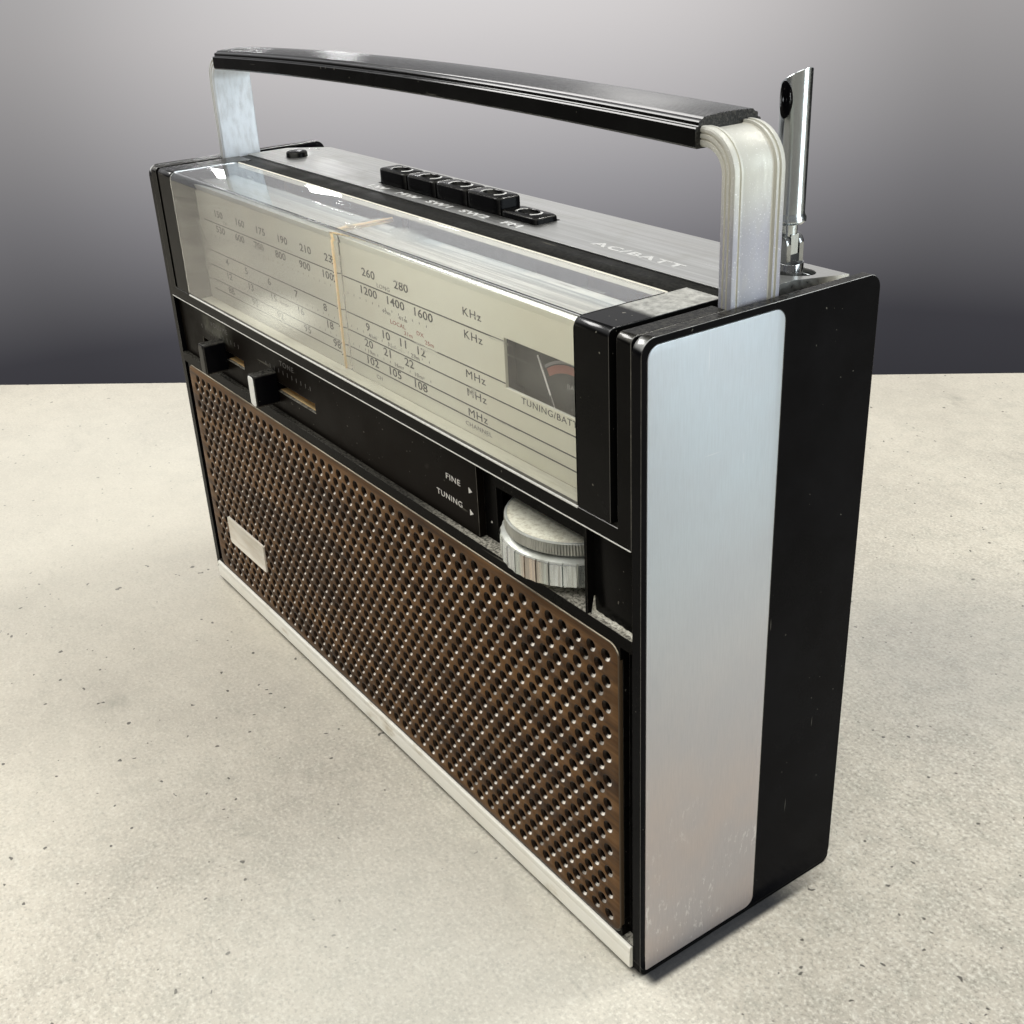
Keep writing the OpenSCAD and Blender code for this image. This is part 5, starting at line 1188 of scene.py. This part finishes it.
section += [(d1 - a, b) for b, a in lines]
section += [(d1, arm_t - 0.5), (d1 - 0.5, arm_t), (d0 + 0.5, arm_t), (d0, arm_t - 0.5)]
section += [(d0 + a, b) for b, a in reversed(lines)]
cut_faces = (0, 1, 2, 4, 5, 6)
line_sides = [2 * len(rib) + k for k in cut_faces] + [len(section) - 2 - k for k in cut_faces]
round_r, arm_d = (d1 - d0) / 2, (d1 + d0) / 2
foot_turns = (8, 25, 42, 58, 74, 90)
path = [((x1, z0 + round_r * (1 - math.cos(math.radians(a)))), 0) for a in foot_turns]
widths = [math.sin(math.radians(a)) for a in foot_turns]
path += [((x1, z), 0) for z in (180, 190, 200, z1 - bend_r)]
path += [((x1 - bend_r + bend_r * math.cos(math.radians(a)), z1 - bend_r + bend_r * math.sin(math.radians(a))), a)
         for a in range(9, 91, 9)]
path += [((x, z1), 90) for x in (x1 - bend_r - 4, x0)]
widths += [1.0] * (len(path) - len(widths))
for side, name in ((1, "handle_arm_right"), (-1, "handle_arm_left")):
    mesh = bmesh.new()
    loft(mesh, [[(side * (x - b * math.cos(math.radians(a))), arm_d + (d - arm_d) * width,
                  z - b * math.sin(math.radians(a))) for d, b in section]
                for ((x, z), a), width in zip(path, widths)])
    mesh.faces.ensure_lookup_table()
    for number in range(len(section) * (len(path) - 1)):
        place = number % len(section)
        if min(place, 2 * len(rib) - 2 - place) in groove_sides or place in line_sides:
            mesh.faces[number].material_index = 1
    piece(name + "_bar", mesh, "handle", "arm_metal", arm_satin, arm_groove, replaced=(name,), crease=30)
grip_black = moulding("grip_black", (0.0036, 0.0036, 0.0036), shine=0.02, rough=0.2, dust=0.0, texture=0.000004,
                      wear=0.25, edge_shine=0.8)
grip_gloss = two_tone("grip_gloss", (0.004, 0.004, 0.004), (0.010, 0.010, 0.0095), rough=(0.10, 0.20),
                      speckle=dict(fineness=60, stretch=(0.3, 1, 1), detail=4), bump=(0.00002, 0.1),
                      Specular_IOR_Level=0.75)
x0, x1, d0, d1, z0, z1 = span_of("handle_grip")
arch, ribs = 2.4, 17
profile = [(d0 + 0.5, 0.0), (d0, 0.5), (d0, 4.3), (d0 + 0.25, 4.6), (d0 + 0.8, 4.7), (d0 + 0.95, 4.9),
           (d0 + 0.95, 5.6), (d0 + 1.2, 5.9), (d0 + 1.8, 6.0)]
rib_step = (d1 - d0 - 4.4) / ribs
grip_rib = ((0.10, 6.35), (0.25, 6.58), (0.5, 6.62), (0.75, 6.58), (0.90, 6.35))
for i in range(ribs):
    start = d0 + 2.2 + i * rib_step
    crown = 0.35 * (1 - ((i + 0.5) / ribs * 2 - 1) ** 2)
    profile += [(start + share * rib_step, rise + crown) for share, rise in grip_rib]
profile += [(d0 + d1 - d, z) for d, z in reversed(profile[:9])]
mesh = bmesh.new()
stations = [x0 + (x1 - x0) * i / 40 for i in range(41)]
loft(mesh, [[(x, d, z0 + h + arch * (1 - (x / x1) ** 2)) for d, h in profile] for x in stations])
bmesh.ops.recalc_face_normals(mesh, faces=mesh.faces)
for face in mesh.faces:
    face.material_index = 2 if abs(face.normal.x) > 0.8 else 1 if face.normal.z > 0.25 else 0
grip_cut = two_tone("grip_cut", (0.004, 0.004, 0.004), (0.055, 0.052, 0.046), turn_over=(0.50, 0.58),
                    rough=(0.3, 0.6), speckle=dict(fineness=1800, detail=4, rough=0.7), bump=(0.0004, 0.8),
                    Specular_IOR_Level=0.4)
piece("handle_grip_ribbed", mesh, "handle", "black_satin", grip_black, grip_gloss, grip_cut,
      replaced=("handle_grip",), crease=32)
dress(screw_steel, "handle_pivots", edge=0.2)

# Works inside the case: loudspeaker, circuit board with its parts, tuning drive, ferrite aerial, battery
# tray with its cells and the mains transformer, each fixed to the mouldings.
basket_steel = metal("basket_steel", (0.42, 0.42, 0.40), rough=0.4)
cone_paper = two_tone("cone_paper", (0.030, 0.029, 0.028), (0.065, 0.06, 0.055), turn_over=(0.35, 0.7),
                      rough=(0.75, 0.95), speckle=dict(fineness=900, detail=6), bump=(0.0001, 0.6),
                      Specular_IOR_Level=0.2)


def inner(name, first, second, rough, fineness, stretch=(1, 1, 1)):
    """A plain part's finish: two tones in a grain."""
    return two_tone(name, first, second, rough=(rough * 0.85, min(1, rough * 1.2)), turn_over=(0.35, 0.7),
                    speckle=dict(fineness=fineness, stretch=stretch, detail=4), Specular_IOR_Level=0.4)


dress(basket_steel, "speaker_basket", "band_switch", "tuning_capacitor", edge=0)
dress(cone_paper, "speaker_cone", edge=0)
dress(inner("magnet_core", (0.08, 0.08, 0.085), (0.13, 0.13, 0.13), 0.5, 200),
      "speaker_magnet", "mains_transformer", edge=0)
dress(inner("board_resin", (0.22, 0.12, 0.045), (0.30, 0.17, 0.07), 0.5, 120), "circuit_board", edge=0)
dress(inner("parts_mixed", (0.30, 0.20, 0.10), (0.12, 0.16, 0.20), 0.45, 60), "board_parts", edge=0)
dress(inner("drum_cream", (0.62, 0.58, 0.46), (0.52, 0.48, 0.38), 0.5, 80), "dial_drum", edge=0.2)
dress(inner("cord_thread", (0.55, 0.52, 0.44), (0.35, 0.33, 0.28), 0.8, 900, (1, 1, 0.3)), "dial_cord", edge=0)
dress(inner("ferrite_rod", (0.045, 0.04, 0.04), (0.09, 0.07, 0.06), 0.6, 150), "ferrite_aerial", edge=0)
dress(inner("tray_black", (0.02, 0.02, 0.02), (0.035, 0.034, 0.033), 0.5, 90), "battery_box", edge=0)
dress(inner("cell_jacket", (0.42, 0.30, 0.10), (0.28, 0.20, 0.09), 0.4, 40, (0.2, 1, 1)), "battery_cells", edge=0)
